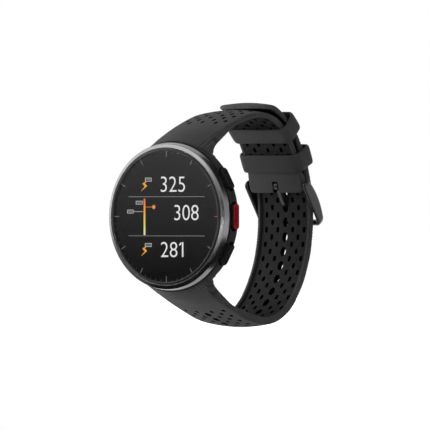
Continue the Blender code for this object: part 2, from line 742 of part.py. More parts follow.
def build_back(case, case_axis):
    """Model the back cover with its seal, screws, charge pins and sensor."""
    groove_in = SEAL_RADIUS - SEAL_WIDTH / 2 - FIT_GAP
    groove_out = SEAL_RADIUS + SEAL_WIDTH / 2 + FIT_GAP
    groove_floor = Z_COVER_TOP - SEAL_HEIGHT
    hole = WINDOW_RADIUS + FIT_GAP
    flange = WINDOW_RADIUS + WINDOW_FLANGE_WIDTH
    cover = turned("back_cover", [
        (COVER_RADIUS, Z_COVER_TOP),
        (COVER_RADIUS, Z_BACK),
        (COVER_FLAT_RADIUS, Z_BACK - COVER_BULGE),
        (hole, Z_BACK - COVER_BULGE),
        (hole, Z_FLANGE - FIT_GAP),
        (flange + FIT_GAP, Z_FLANGE - FIT_GAP),
        (flange + FIT_GAP, Z_COVER_TOP),
        (groove_in, Z_COVER_TOP),
        (groove_in, groove_floor),
        (groove_out, groove_floor),
        (groove_out, Z_COVER_TOP),
    ], "case_plastic", case_axis)
    seal_low = groove_floor + FIT_GAP / 2
    seal_section = ring_section(SEAL_RADIUS - SEAL_WIDTH / 2, SEAL_RADIUS + SEAL_WIDTH / 2,
                                seal_low, seal_low + SEAL_HEIGHT)
    turned("back_cover_seal", seal_section, "seal_rubber", case_axis, steps=INNER_TURN_STEPS)
    turned("sensor_window", [
        (0.0, Z_FLANGE_TOP),
        (flange, Z_FLANGE_TOP),
        (flange, Z_FLANGE),
        (WINDOW_RADIUS, Z_FLANGE),
        (WINDOW_RADIUS, WINDOW_CHAMFER),
        (WINDOW_RADIUS - WINDOW_CHAMFER, 0.0),
        (0.0, 0.0),
    ], "dark_resin", case_axis)
    board_low = Z_FLANGE_TOP + FIT_GAP
    turned("sensor_board", disc_section(SENSOR_BOARD_RADIUS, board_low, board_low + SENSOR_BOARD_THICKNESS),
           "board", case_axis, steps=24)
    for number, angle in enumerate(SCREW_ANGLES, 1):
        turn = math.radians(angle)
        place = (SCREW_CIRCLE_RADIUS * math.cos(turn), SCREW_CIRCLE_RADIUS * math.sin(turn), 0.0)
        head_low = Z_BACK + FIT_GAP
        head_top = head_low + SCREW_HEAD_HEIGHT
        shank_top = Z_LEDGE - FIT_GAP
        turned(f"case_screw_{number}", [
            (0.0, shank_top),
            (SCREW_SHANK_RADIUS, shank_top),
            (SCREW_SHANK_RADIUS, head_top),
            (SCREW_HEAD_RADIUS, head_top),
            (SCREW_HEAD_RADIUS, head_low),
            (0.0, head_low),
        ], "steel", case_axis, place, steps=10)
        bore = SCREW_SHANK_RADIUS + FIT_GAP
        drill = add_object(f"cut_screw_{number}",
                           cylinder_mesh("cut_screw", bore, 0.0, Z_LEDGE + CASE_WALL, segments=10),
                           None, case_axis, place)
        sink_mesh = cylinder_mesh("cut_head", SCREW_HEAD_RADIUS + FIT_GAP, 0.0, head_top + FIT_GAP, segments=12)
        sink = add_object(f"cut_screw_head_{number}", sink_mesh, None, case_axis, place)
        boolean(case, drill)
        boolean(cover, drill)
        boolean(cover, sink)
    for number in range(1, 5):
        place = ((number - 2.5) * CHARGE_PIN_PITCH, -CHARGE_PIN_OFFSET, 0.0)
        pin_low = Z_BACK - COVER_BULGE - CHARGE_PIN_PROUD
        pin = cylinder_mesh("charge_pin", CHARGE_PIN_RADIUS, pin_low, Z_COVER_TOP, segments=12)
        add_object(f"charge_pin_{number}", pin, "gold", case_axis, place)
        drill_mesh = cylinder_mesh("cut_pin", CHARGE_PIN_RADIUS + FIT_GAP, -Z_BACK, Z_COVER_TOP + Z_BACK,
                                   segments=12)
        drill = add_object(f"cut_pin_{number}", drill_mesh, None, case_axis, place)
        boolean(cover, drill)


def lug_outline(clearance):
    """Return the lug's side view as (12 o'clock, dial) pairs in the case frame."""
    pin = (LUG_PIN_RADIAL, Z_BACK)
    outer = arc_points(pin, LUG_RADIUS + clearance, -125, 60, 9)
    upper = (CASE_BORE + 0.3 * CASE_WALL + clearance, Z_BAND + 0.1 * CASE_BAND_HEIGHT + clearance)
    lower = (SEAT_RADIUS + 0.35 * CASE_BACK_RIM, Z_BACK + 0.25 * CASE_TAPER_HEIGHT)
    return outer + [upper, lower]


TURN_HALF = Matrix.Rotation(math.pi, 4, "Z")


def build_lugs(case, case_axis):
    """Join the two middle lugs to the case and bore them for the spring bars."""
    for name, turn in (("upper", Matrix()), ("lower", TURN_HALF)):
        mesh = outline_mesh("lug", [lug_outline(0.0)], -LUG_WIDTH / 2, LUG_WIDTH / 2, turn @ SIDE_VIEW)
        lug = add_object(f"join_lug_{name}", mesh, None, case_axis)
        boolean(case, lug, "UNION")
    for name, sign in (("upper", 1), ("lower", -1)):
        place = (0.0, sign * LUG_PIN_RADIAL, Z_BACK)
        bore = add_object(f"cut_lug_{name}",
                          cylinder_mesh("cut_lug", BAR_RADIUS + FIT_GAP, -LUG_WIDTH, LUG_WIDTH, ALONG_X),
                          None, case_axis, place)
        boolean(case, bore)


def build_inside(case_axis):
    """Model the display, chassis, board, cell, motor and antenna."""
    turned("display_panel", disc_section(DISPLAY_RADIUS, Z_DISPLAY, Z_DISPLAY + DISPLAY_THICKNESS),
           "dark_resin", case_axis, steps=INNER_TURN_STEPS)
    antenna_in = DISPLAY_RADIUS + FIT_GAP
    turned("gnss_antenna",
           ring_section(antenna_in, antenna_in + ANTENNA_WIDTH, Z_DISPLAY, Z_DISPLAY + ANTENNA_THICKNESS),
           "gold", case_axis, steps=INNER_TURN_STEPS)
    turned("inner_chassis", [
        (0.0, Z_PLATE_TOP),
        (CHASSIS_RADIUS, Z_PLATE_TOP),
        (CHASSIS_RADIUS, Z_PLATE),
        (CHASSIS_RING_RADIUS, Z_PLATE),
        (CHASSIS_RING_RADIUS, Z_CELL),
        (RING_BORE, Z_CELL),
        (RING_BORE, Z_PLATE),
        (0.0, Z_PLATE),
    ], "case_plastic", case_axis, steps=INNER_TURN_STEPS)
    turned("main_board", disc_section(RING_BORE - FIT_GAP, Z_BOARD, Z_BOARD_TOP), "board", case_axis,
           steps=INNER_TURN_STEPS)
    cell = box_mesh("battery_cell", (-CELL_HALF_LENGTH, CELL_LOW_SIDE, Z_CELL),
                    (CELL_HALF_LENGTH, CELL_HIGH_SIDE, Z_CELL_TOP))
    add_object("battery_cell", cell, "cell_foil", case_axis)
    motor = cylinder_mesh("vibration_motor", MOTOR_RADIUS, Z_CELL, Z_CELL_TOP, segments=24)
    add_object("vibration_motor", motor, "steel", case_axis, (0.0, -MOTOR_OFFSET, 0.0))


def build_button(case, case_axis, name, angle, length, proud, finish):
    """Model one button with its seal, clip and switch, and cut its seat in the case."""
    axis = add_empty(f"{name}_axis", case_axis, (0, 0, Z_BUTTON), (0, 0, angle))
    cap_low = CASE_RADIUS - BUTTON_CAP_SINK
    cap = outline_mesh(name, [stadium(length, BUTTON_WIDTH)], cap_low, CASE_RADIUS + proud, SIDE_VIEW)
    button = add_object(name, cap, finish, axis)
    soften(button, BUTTON_EDGE)
    clip_top = CASE_BORE - FIT_GAP
    clip_low = clip_top - STEM_CLIP_LENGTH
    stem_end = clip_low - STEM_TAIL
    stem_mesh = cylinder_mesh("stem", STEM_RADIUS, stem_end, cap_low + proud, ALONG_X, 14)
    stem = add_object(f"join_{name}", stem_mesh, None, axis)
    boolean(button, stem, "UNION")
    sleeve = STEM_RADIUS + FIT_GAP
    seal_low = CASE_BORE + BUTTON_TRAVEL
    seal_section = ring_section(sleeve, sleeve + STEM_SEAL_WALL, seal_low, seal_low + STEM_SEAL_LENGTH)
    turned(f"{name}_seal", seal_section, "seal_rubber", axis, rotation=(0, 90, 0), steps=14)
    turned(f"{name}_clip", ring_section(sleeve, sleeve + STEM_CLIP_WALL, clip_low, clip_top),
           "steel", axis, rotation=(0, 90, 0), steps=14)
    switch_top = stem_end - BUTTON_TRAVEL - FIT_GAP
    switch_low = CHASSIS_RING_RADIUS + FIT_GAP
    switch = box_mesh(f"{name}_switch", (switch_low, -SWITCH_WIDTH / 2, -SWITCH_HEIGHT / 2),
                      (switch_top, SWITCH_WIDTH / 2, SWITCH_HEIGHT / 2))
    add_object(f"{name}_switch", switch, "steel", axis)
    pocket = outline_mesh("pocket", [stadium(length + 2 * SLIDE_GAP, BUTTON_WIDTH + 2 * SLIDE_GAP)],
                          POCKET_FLOOR, 2 * CASE_RADIUS, SIDE_VIEW)
    boolean(case, add_object(f"cut_pocket_{name}", pocket, None, axis))
    bore = cylinder_mesh("bore", STEM_BORE, CASE_BORE - CASE_WALL, CASE_RADIUS, ALONG_X, 14)
    boolean(case, add_object(f"cut_bore_{name}", bore, None, axis))


def case_clearance(case_axis):
    """Return the space that the strap ends leave to the case."""
    gap = STRAP_GAP
    bottom = -4 * CASE_TAPER_HEIGHT
    return turned("cut_case_space", [
        (0.0, Z_FRONT + CASE_DEPTH),
        (2 * CASE_RADIUS, Z_FRONT + CASE_DEPTH),
        (2 * CASE_RADIUS, Z_FRONT - STRAP_FRONT_DEPTH),
        (CASE_RADIUS + gap, Z_FRONT - STRAP_FRONT_DEPTH),
        (CASE_RADIUS + gap, Z_BAND - gap),
        (CASE_BACK_RADIUS + gap, Z_BACK - gap),
        (CASE_BACK_RADIUS + gap, bottom),
        (0.0, bottom),
    ], None, case_axis)


def fit_strap_end(strap, name, turn, case_axis, space):
    """Cut a strap's case end: the case's space, the lug's notch, the bar's bore and the knob's slot."""
    boolean(strap, space)
    notch = outline_mesh("notch", [lug_outline(STRAP_GAP)],
                         -LUG_WIDTH / 2 - STRAP_GAP, LUG_WIDTH / 2 + STRAP_GAP, turn @ SIDE_VIEW)
    boolean(strap, add_object(f"cut_notch_{name}", notch, None, case_axis))
    half = BAR_LENGTH / 2 + STRAP_GAP
    place = turn @ Vector((0.0, LUG_PIN_RADIAL, Z_BACK))
    bore = cylinder_mesh("cut_bar", BAR_RADIUS + FIT_GAP, -half, half, ALONG_X)
    boolean(strap, add_object(f"cut_bar_{name}", bore, None, case_axis, place))
    width = KNOB_RADIUS + FIT_GAP
    slot_low = KNOB_PLACE - TIP_TRAVEL - width
    deep = box_mesh("cut_knob", (slot_low, -width, -2 * KNOB_REACH), (KNOB_PLACE + width, width, 0.0),
                    turn @ knob_frame())
    boolean(strap, add_object(f"cut_knob_{name}", deep, None, case_axis))


def knob_frame():
    """Return the frame at the upper spring bar whose +Z is the strap's outward normal."""
    tilt = math.radians(PATH_HEADING)
    place = Matrix.Translation((0.0, LUG_PIN_RADIAL, Z_BACK))
    return place @ Matrix.Rotation(tilt - math.radians(90), 4, "X")


def build_spring_bar(name, turn, case_axis):
    """Model a quick-release spring bar: a bored tube and its sliding tip with a knob."""
    place = turn @ Vector((0.0, LUG_PIN_RADIAL, Z_BACK))
    axis = add_empty(f"spring_bar_{name}_axis", case_axis, place)
    axis.rotation_euler = turn.to_euler()
    half = BAR_LENGTH / 2
    turned(f"spring_bar_{name}", [
        (0.0, BAR_BORE_START),
        (BAR_BORE_RADIUS, BAR_BORE_START),
        (BAR_BORE_RADIUS, BAR_TUBE_END),
        (BAR_RADIUS, BAR_TUBE_END),
        (BAR_RADIUS, -half),
        (0.0, -half),
    ], "steel", axis, rotation=(0, 90, 0), steps=14)
    tip = turned(f"spring_bar_tip_{name}", [
        (0.0, half),
        (BAR_RADIUS, half),
        (BAR_RADIUS, TIP_SHOULDER),
        (TIP_TAIL_RADIUS, TIP_SHOULDER),
        (TIP_TAIL_RADIUS, TIP_SHOULDER - TIP_TAIL_LENGTH),
        (0.0, TIP_SHOULDER - TIP_TAIL_LENGTH),
    ], "steel", axis, rotation=(0, 90, 0), steps=14)
    shift = Matrix.Translation((KNOB_PLACE, 0.0, 0.0))
    knob_mesh = cylinder_mesh("knob", KNOB_RADIUS, -KNOB_REACH, 0.0, turn @ knob_frame() @ shift, 10)
    boolean(tip, add_object(f"join_knob_{name}", knob_mesh, None, case_axis), "UNION")


def build_straps(case_axis):
    """Model the two straps and fit their ends."""
    space = case_clearance(case_axis)
    last_short = PATH.rear_distance(BUCKLE_BAR_HEIGHT) - BUCKLE_END_BLEND - KEEPER_BAND / 2
    short_rows = perforation(ROW_FIRST, last_short, False)
    short = add_object("strap_short", strap_mesh(
        "strap_short", [strap_outline(SHORT_LENGTH, 0.0)] + short_rows, short_surface), "strap_rubber")
    long_rows = perforation(HOLE_DISTANCE, LONG_LENGTH - TAIL_ROUND, True)
    long = add_object("strap_long", strap_mesh(
        "strap_long", [strap_outline(LONG_LENGTH, TAIL_ROUND)] + long_rows, long_surface), "strap_rubber")
    fit_strap_end(short, "upper", Matrix(), case_axis, space)
    fit_strap_end(long, "lower", TURN_HALF, case_axis, space)
    return short, long


def side_point(distance, height):
    """Return the (Y, Z) point at a distance along the path and a height off it."""
    point, _, normal = PATH.at(distance)
    return point + normal * height


def taper_outline(first, first_radius, second, second_radius, bulge):
    """Return an arm's side view: round ends joined by a straight and a bowed side."""
    along = (second - first).normalized()
    angle = math.degrees(math.atan2(along.y, along.x))
    start = arc_points(first, first_radius, angle + 90, angle + 270, 7)
    end = arc_points(second, second_radius, angle - 90, angle + 90, 7)
    side = Vector((-along.y, along.x))
    bowed = []
    for i in range(1, 6):
        t = i / 6
        width = second_radius + (first_radius - second_radius) * t
        lift = bulge * 4 * t * (1 - t)
        spot = second + (first - second) * t + side * (width + lift)
        bowed.append((spot.x, spot.y))
    return start + end + bowed


def ribbon_outline(points, thickness):
    """Return the outline of a strip of even thickness along a line of points."""
    left, right = [], []
    for i, point in enumerate(points):
        before = points[max(i - 1, 0)]
        after = points[min(i + 1, len(points) - 1)]
        along = (after - before).normalized()
        side = Vector((-along.y, along.x)) * thickness / 2
        left.append(tuple(point + side))
        right.append(tuple(point - side))
    return left + right[::-1]


def build_buckle(short):
    """Model the buckle's bar, frame and tang on the end of the short strap."""
    thickness = STRAP_EDGE + BUCKLE_BAR_RADIUS / 2
    bar = side_point(BAR_DISTANCE, (STRAP_CROWN - thickness) / 2)
    arm_in = STRAP_HALF_WIDTH + BUCKLE_ARM_GAP
    arm_out = arm_in + BUCKLE_ARM_WIDTH
    axis = add_empty("buckle_axis", None, (0.0, bar.x, bar.y))
    here = Matrix.Translation((0.0, -bar.x, -bar.y))
    rod = cylinder_mesh("buckle_bar", BUCKLE_BAR_RADIUS, -arm_out, arm_out, ALONG_X, 14)
    add_object("buckle_bar", rod, "black_metal", axis)
    bore = cylinder_mesh("cut_buckle_bar", BUCKLE_BAR_RADIUS + FIT_GAP, -arm_out, arm_out, ALONG_X, 14)
    boolean(short, add_object("cut_buckle_bar", bore, None, axis))

    cross_at = 2 * PATH.half - PATH.rear_distance(-BUCKLE_CROSS_DROP)
    cross_height = nest_offset(cross_at) + STRAP_CROWN + STRAP_GAP + BUCKLE_CROSS_RADIUS
    cross = side_point(2 * PATH.half - cross_at, cross_height)
    arm = taper_outline(bar, BUCKLE_EYE_RADIUS, cross, BUCKLE_CROSS_RADIUS + STRAP_GAP, BUCKLE_ARM_BULGE)
    frame = add_object("buckle_frame", outline_mesh("buckle_frame", [arm], arm_in, arm_out, here @ SIDE_VIEW),
                       "black_metal", axis)
    other_mesh = outline_mesh("arm", [arm], -arm_out, -arm_in, here @ SIDE_VIEW)
    other = add_object("join_arm", other_mesh, None, axis)
    cross_mesh = cylinder_mesh("cross", BUCKLE_CROSS_RADIUS, -arm_out + BUCKLE_EYE_RADIUS / 4,
                               arm_out - BUCKLE_EYE_RADIUS / 4, ALONG_X, 14)
    cross_bar = add_object("join_cross", cross_mesh, None, axis, (0.0, cross.x - bar.x, cross.y - bar.y))
    boolean(frame, cross_bar, "UNION")
    boolean(frame, other, "UNION")
    boolean(frame, bpy.data.objects["cut_buckle_bar"])

    build_tang(short, axis, bar, cross, here)


def build_tang(short, axis, bar, cross, here):
    """Model the tang: an eye round the bar, a shank through one hole and a tip over the cross bar."""
    eye_in = BUCKLE_BAR_RADIUS + FIT_GAP
    eye_out = eye_in + TANG_EYE_WALL
    slope = math.radians(TANG_SLOPE)
    through = Vector((math.cos(slope), -math.sin(slope)))
    middle_height = nest_offset(HOLE_DISTANCE) + (STRAP_CROWN - STRAP_EDGE) / 2
    middle = side_point(2 * PATH.half - HOLE_DISTANCE, middle_height)
    reach = (STRAP_EDGE + STRAP_CROWN) / 2 / math.cos(slope) + TANG_THICKNESS / 2
    enter = middle - through * reach
    leave = middle + through * reach
    over = cross + Vector((BUCKLE_CROSS_RADIUS + TANG_THICKNESS / 2 + STRAP_GAP, 0.0))
    tip = over - Vector((0.0, TANG_TIP))
    away = (enter - bar).normalized()
    root = bar + away * (eye_in + TANG_EYE_WALL / 2)
    shoulder = Vector((max(over.x, leave.x), (over.y + leave.y) / 2 + TANG_THICKNESS / 2))
    line = [root, bar + (enter - bar) * 0.6, enter, middle, leave, shoulder, over, tip]
    ribbon = ribbon_outline(line, TANG_THICKNESS)
    shank = outline_mesh("buckle_tang", [ribbon], -TANG_WIDTH / 2, TANG_WIDTH / 2, here @ SIDE_VIEW)
    tang = add_object("buckle_tang", shank, "black_metal", axis)
    eye = cylinder_mesh("eye", eye_out, -TANG_WIDTH / 2, TANG_WIDTH / 2, ALONG_X, 16)
    boolean(tang, add_object("join_eye", eye, None, axis), "UNION")
    bore = cylinder_mesh("cut_eye", eye_in, -TANG_WIDTH, TANG_WIDTH, ALONG_X, 16)
    boolean(tang, add_object("cut_eye", bore, None, axis))
    half = TANG_WIDTH / 2 + STRAP_GAP
    space = eye_out + STRAP_GAP
    _, along, normal = PATH.at(BAR_DISTANCE)
    tilt = math.atan2(along.y, along.x)
    slot_box = box_mesh("cut_tang", (-half, -space, -4 * space), (half, 4 * space, 4 * space),
                        Matrix.Rotation(tilt, 4, "X"))
    boolean(short, add_object("cut_tang", slot_box, None, axis))


def build_keeper(name, heading, centre, radius):
    """Model one keeper: a rounded loop round both strap layers, on the axis of its arc."""
    turn = math.radians(heading)
    axis = add_empty(f"{name}_axis", None, (0.0, centre.x, centre.y))
    arc_distance = distance_at_heading(heading)
    sag = (KEEPER_BAND / 2) ** 2 / (2 * PATH.segments[-2][4])
    low = radius - STRAP_EDGE - KEEPER_GAP - sag
    high = radius + nest_offset(2 * PATH.half - arc_distance) + STRAP_CROWN + KEEPER_GAP + sag
    half = STRAP_HALF_WIDTH + KEEPER_GAP
    inner = rounded_rectangle(-half, half, low, high, KEEPER_ROUND - KEEPER_WALL / 2)
    outer = rounded_rectangle(-half - KEEPER_WALL, half + KEEPER_WALL, low - KEEPER_WALL, high + KEEPER_WALL,
                              KEEPER_ROUND + KEEPER_WALL / 2)
    across = Matrix(((1, 0, 0, 0), (0, 0, 1, 0), (0, 1, 0, 0), (0, 0, 0, 1)))
    face = Matrix.Rotation(-turn, 4, "X") @ across
    mesh = outline_mesh(name, [outer, inner], -KEEPER_BAND / 2, KEEPER_BAND / 2, face)
    add_object(name, mesh, "strap_rubber", axis)


def distance_at_heading(heading):
    """Return the path distance where the strap points down by an angle."""
    for start, _, first, length, radius in PATH.segments:
        if radius is None:
            continue
        passed = first + math.radians(heading)
        if 0 <= passed * radius <= length:
            return start + passed * radius
    return PATH.half


def main():
    """Build the whole watch."""
    case_axis = add_empty("case_axis", None, (0, 0, 0), (90, 0, 0))
    case = build_case(case_axis)
    build_inside(case_axis)
    build_button(case, case_axis, "button_ok", 0.0, OK_LENGTH, OK_PROUD, "red_button")
    build_button(case, case_axis, "button_up", SIDE_ANGLE, SIDE_LENGTH, SIDE_PROUD, "black_metal")
    build_button(case, case_axis, "button_down", -SIDE_ANGLE, SIDE_LENGTH, SIDE_PROUD, "black_metal")
    build_button(case, case_axis, "button_light", 180.0 - SIDE_ANGLE, SIDE_LENGTH, SIDE_PROUD, "black_metal")
    build_button(case, case_axis, "button_back", 180.0 + SIDE_ANGLE, SIDE_LENGTH, SIDE_PROUD, "black_metal")
    build_spring_bar("upper", Matrix(), case_axis)
    build_spring_bar("lower", TURN_HALF, case_axis)
    short, _ = build_straps(case_axis)
    build_buckle(short)
    build_keeper("keeper_upper", KEEPER_UPPER_HEADING, PATH.corner_centre, PATH_CORNER_RADIUS)
    build_keeper("keeper_lower", KEEPER_LOWER_HEADING, PATH.rear_centre, PATH.rear_radius)


main()
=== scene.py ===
"""Looks of a GPS running watch on its closed strap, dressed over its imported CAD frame.

Frame: +X points to 3 o'clock, the dial faces -Y, +Z points to 12 o'clock, and the origin
is the middle of the flat sensor window on the case back. Sizes here are in millimetres,
and the mesh maker turns them into metres.
"""

import logging
import math
from dataclasses import dataclass
from enum import Enum
from typing import Optional, Sequence

import bmesh
import bpy
import numpy as np
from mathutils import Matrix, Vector, geometry


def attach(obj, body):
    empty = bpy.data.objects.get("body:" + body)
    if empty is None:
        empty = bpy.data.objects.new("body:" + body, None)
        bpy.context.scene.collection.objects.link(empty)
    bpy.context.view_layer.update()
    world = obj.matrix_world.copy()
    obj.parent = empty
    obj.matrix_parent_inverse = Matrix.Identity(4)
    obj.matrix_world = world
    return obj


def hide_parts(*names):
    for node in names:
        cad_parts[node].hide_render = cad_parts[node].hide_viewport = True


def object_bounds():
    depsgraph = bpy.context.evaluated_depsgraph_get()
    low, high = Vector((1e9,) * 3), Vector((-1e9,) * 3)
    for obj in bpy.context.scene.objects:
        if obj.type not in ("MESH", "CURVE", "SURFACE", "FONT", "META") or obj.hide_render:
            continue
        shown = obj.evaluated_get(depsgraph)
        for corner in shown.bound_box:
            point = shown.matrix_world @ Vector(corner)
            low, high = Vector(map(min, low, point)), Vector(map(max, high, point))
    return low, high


logging.basicConfig(level=logging.INFO, format="%(name)s: %(message)s")
LOG = logging.getLogger("watch")

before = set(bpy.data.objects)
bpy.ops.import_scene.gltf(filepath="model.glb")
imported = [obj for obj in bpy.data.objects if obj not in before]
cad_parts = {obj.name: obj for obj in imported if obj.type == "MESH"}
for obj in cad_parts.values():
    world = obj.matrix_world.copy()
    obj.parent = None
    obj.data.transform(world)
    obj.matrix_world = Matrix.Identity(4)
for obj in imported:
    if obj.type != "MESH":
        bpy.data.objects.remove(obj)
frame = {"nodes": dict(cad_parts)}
CAD_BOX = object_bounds()

Array = np.ndarray
Object = bpy.types.Object
Material = bpy.types.Material
Node = bpy.types.Node
Socket = bpy.types.NodeSocket
Tree = bpy.types.NodeTree

MM = 0.001
BODY = "watch"
WHITE = (1.0, 1.0, 1.0, 1.0)
BLACK = (0.0, 0.0, 0.0, 1.0)
UNLIT = (0.01, 0.01, 0.01, 1.0)
MIRROR = np.array([-1, 1])
SQUARE = np.array([[-1, -1], [1, -1], [1, 1], [-1, 1]])
ACROSS = np.array([1.0, 0.0, 0.0])
FRONT = np.array([0.0, -1.0, 0.0])
CASE_RADIUS = 22.8
BUTTON_HEIGHT = 6.5
BAR_HEIGHT = 9.5
HOLE_HEIGHT = 2.6
FAR = 99.0
UV_MM = 10.0


def smooth(t: Array) -> Array:
    """Return the S-shaped blend 3t^2 - 2t^3 of t held between 0 and 1."""
    t = np.clip(t, 0.0, 1.0)
    return t * t * (3.0 - 2.0 * t)


def stacked(*values: object) -> Array:
    """Return points whose coordinates are the given values, spread to one shape."""
    return np.stack(np.broadcast_arrays(*values), -1)


def pairs(a: Array, b: Array) -> Array:
    """Return every value of a paired with every value of b."""
    return np.stack(np.meshgrid(a, b), -1).reshape(-1, 2)


def turns(count: int) -> Array:
    """Return angles spread evenly round a circle."""
    return np.linspace(0, 2 * np.pi, count, endpoint=False)


def degrees(start: float, end: float, count: int) -> Array:
    """Return evenly spread angles between two given in degrees."""
    return np.radians(np.linspace(start, end, count))


def unit(vectors: Array) -> Array:
    """Return vectors scaled to length 1."""
    return vectors / np.linalg.norm(vectors, axis=-1, keepdims=True)


def grid_faces(rows: int, cols: int, wrap_rows: bool = False) -> Array:
    """Return the quads of a grid of points stored row by row, with its columns in a ring.

    Args:
        rows: Number of rows.
        cols: Number of columns.
        wrap_rows: Whether the last row joins the first.

    Returns:
        An array of four vertex numbers for each quad.
    """
    i, j = np.meshgrid(np.arange(rows if wrap_rows else rows - 1), np.arange(cols), indexing="ij")
    i2 = (i + 1) % rows
    j2 = (j + 1) % cols
    return stacked(i * cols + j, i * cols + j2, i2 * cols + j2, i2 * cols + j).reshape(-1, 4)


def make_piece(name: str, points: Array, faces: Sequence[Sequence[int]], sharp: float = 35.0,
               uv: Optional[Array] = None, marks: Optional[Array] = None) -> Object:
    """Make one piece from points in millimetres, weld it and turn its faces outwards.

    Args:
        name: Name of the piece.
        points: Array of points, one row each.
        faces: Vertex numbers of each face.
        sharp: Angle in degrees past which an edge stays sharp.
        uv: Surface coordinates of each point, if a pattern follows the surface.
        marks: Material number of each face, if it has more than one.

    Returns:
        The new object, linked to the scene at the origin.
    """
    mesh = bpy.data.meshes.new(name)
    mesh.from_pydata((np.asarray(points, float) * MM).tolist(), [], [list(map(int, f)) for f in faces])
    if uv is not None:
        corner = np.empty(len(mesh.loops), np.int32)
        mesh.loops.foreach_get("vertex_index", corner)
        layer = mesh.uv_layers.new(name="surface")
        layer.data.foreach_set("uv", np.asarray(uv, np.float32)[corner].ravel())
    if marks is not None:
        mesh.polygons.foreach_set("material_index", np.asarray(marks, np.int32))
    shell = bmesh.new()
    shell.from_mesh(mesh)
    bmesh.ops.remove_doubles(shell, verts=shell.verts, dist=1e-7)
    bmesh.ops.recalc_face_normals(shell, faces=shell.faces)
    shell.to_mesh(mesh)
    shell.free()
    mesh.shade_smooth()
    mesh.set_sharp_from_angle(angle=math.radians(sharp))
    piece = bpy.data.objects.new(name, mesh)
    bpy.context.scene.collection.objects.link(piece)
    return piece


def dress(piece: Object, material: Material, body: str, slot: str,
          *nodes: str, more: Sequence[Material] = ()) -> Object:
    """Give a piece its finish and its body, and hide the CAD nodes it stands for."""
    for finish in (material, *more):
        piece.data.materials.append(finish)
    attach(piece, body)
    if nodes:
        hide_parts(*nodes)
    LOG.info("%s: %d faces on %s", piece.name, len(piece.data.polygons), body)
    return piece


def fillet(corners: Sequence[Sequence[float]], count: int = 6) -> Array:
    """Return a section line whose corners are rounded by arcs.

    Each corner is (a, b) or (a, b, radius). An arc of that radius touches both sides of the
    corner, and its points are the turned tangent point about the arc's centre.

    Args:
        corners: Corners in order; the first and last stay as they are.
        count: Points on each arc.

    Returns:
        An array of points.
    """
    out = []
    for i, corner in enumerate(corners):
        here = np.array(corner[:2], float)
        if len(corner) < 3:
            out.append(here)
            continue
        back = unit(np.array(corners[i - 1][:2], float) - here)
        ahead = unit(np.array(corners[i + 1][:2], float) - here)
        half = math.acos(np.clip(back @ ahead, -1, 1)) / 2
        reach = corner[2] / math.tan(half)
        t = np.linspace(0, 1, count)[:, None]
        middle = here + unit(back + ahead) * corner[2] / math.sin(half)
        start = here + back * reach - middle
        end = here + ahead * reach - middle
        sweep = math.pi - 2 * half
        out.extend(middle + (np.sin((1 - t) * sweep) * start + np.sin(t * sweep) * end) / math.sin(sweep))
    return np.array(out)


def turned(section: Array, steps: int = 256, closed: bool = True) -> tuple[Array, Array]:
    """Turn a section of (radius, height over the window) pairs about the dial's axis.

    Point (r, h) at angle a goes to (r cos a, -h, r sin a).

    Args:
        section: The section's points.
        steps: Points round the axis.
        closed: Whether the section's end joins its start.

    Returns:
        Points and quads.
    """
    angle = turns(steps)
    r, h = section[:, :1], section[:, 1:]
    points = stacked(r * np.cos(angle), -h, r * np.sin(angle)).reshape(-1, 3)
    return points, grid_faces(len(section), steps, wrap_rows=closed)


def swept(line: Array, side: Array, up: Array, section: Array, closed: bool = False) -> tuple[Array, list]:
    """Carry a section along a line.

    Section point (a, b) at station s goes to line(s) + a side(s) + b up(s). Open ends get caps.

    Args:
        line: Points along the line.
        side: First section axis, either one for all points or one for each.
        up: Second section axis, likewise.
        section: Section points, either one loop or one loop for each station.
        closed: Whether the line joins its own start.

    Returns:
        Points and faces.
    """
    stations = len(line)
    side, up = (np.broadcast_to(axis, line.shape)[:, None, :] for axis in (side, up))
    section = np.broadcast_to(section, (stations, *section.shape[-2:]))
    points = line[:, None, :] + section[:, :, :1] * side + section[:, :, 1:] * up
    count = section.shape[1]
    faces = grid_faces(stations, count, wrap_rows=closed).tolist()
    if not closed:
        faces.append(list(range(count)))
        faces.append(list(range((stations - 1) * count, stations * count))[::-1])
    return points.reshape(-1, 3), faces


def superellipse(a: float, b: float, power: float, count: int) -> Array:
    """Return the loop |u/a|^n + |v/b|^n = 1, from circle-like to box-like with n."""
    c, s = np.cos(turns(count)), np.sin(turns(count))
    return stacked(a * np.sign(c) * np.abs(c) ** (2 / power), b * np.sign(s) * np.abs(s) ** (2 / power))


def pill_distance(u: Array, v: Array, length: float, width: float) -> Array:
    """Return the signed distance to a pill outline with its length along u."""
    core = (length - width) / 2
    return np.hypot(np.maximum(np.abs(u) - core, 0), v) - width / 2


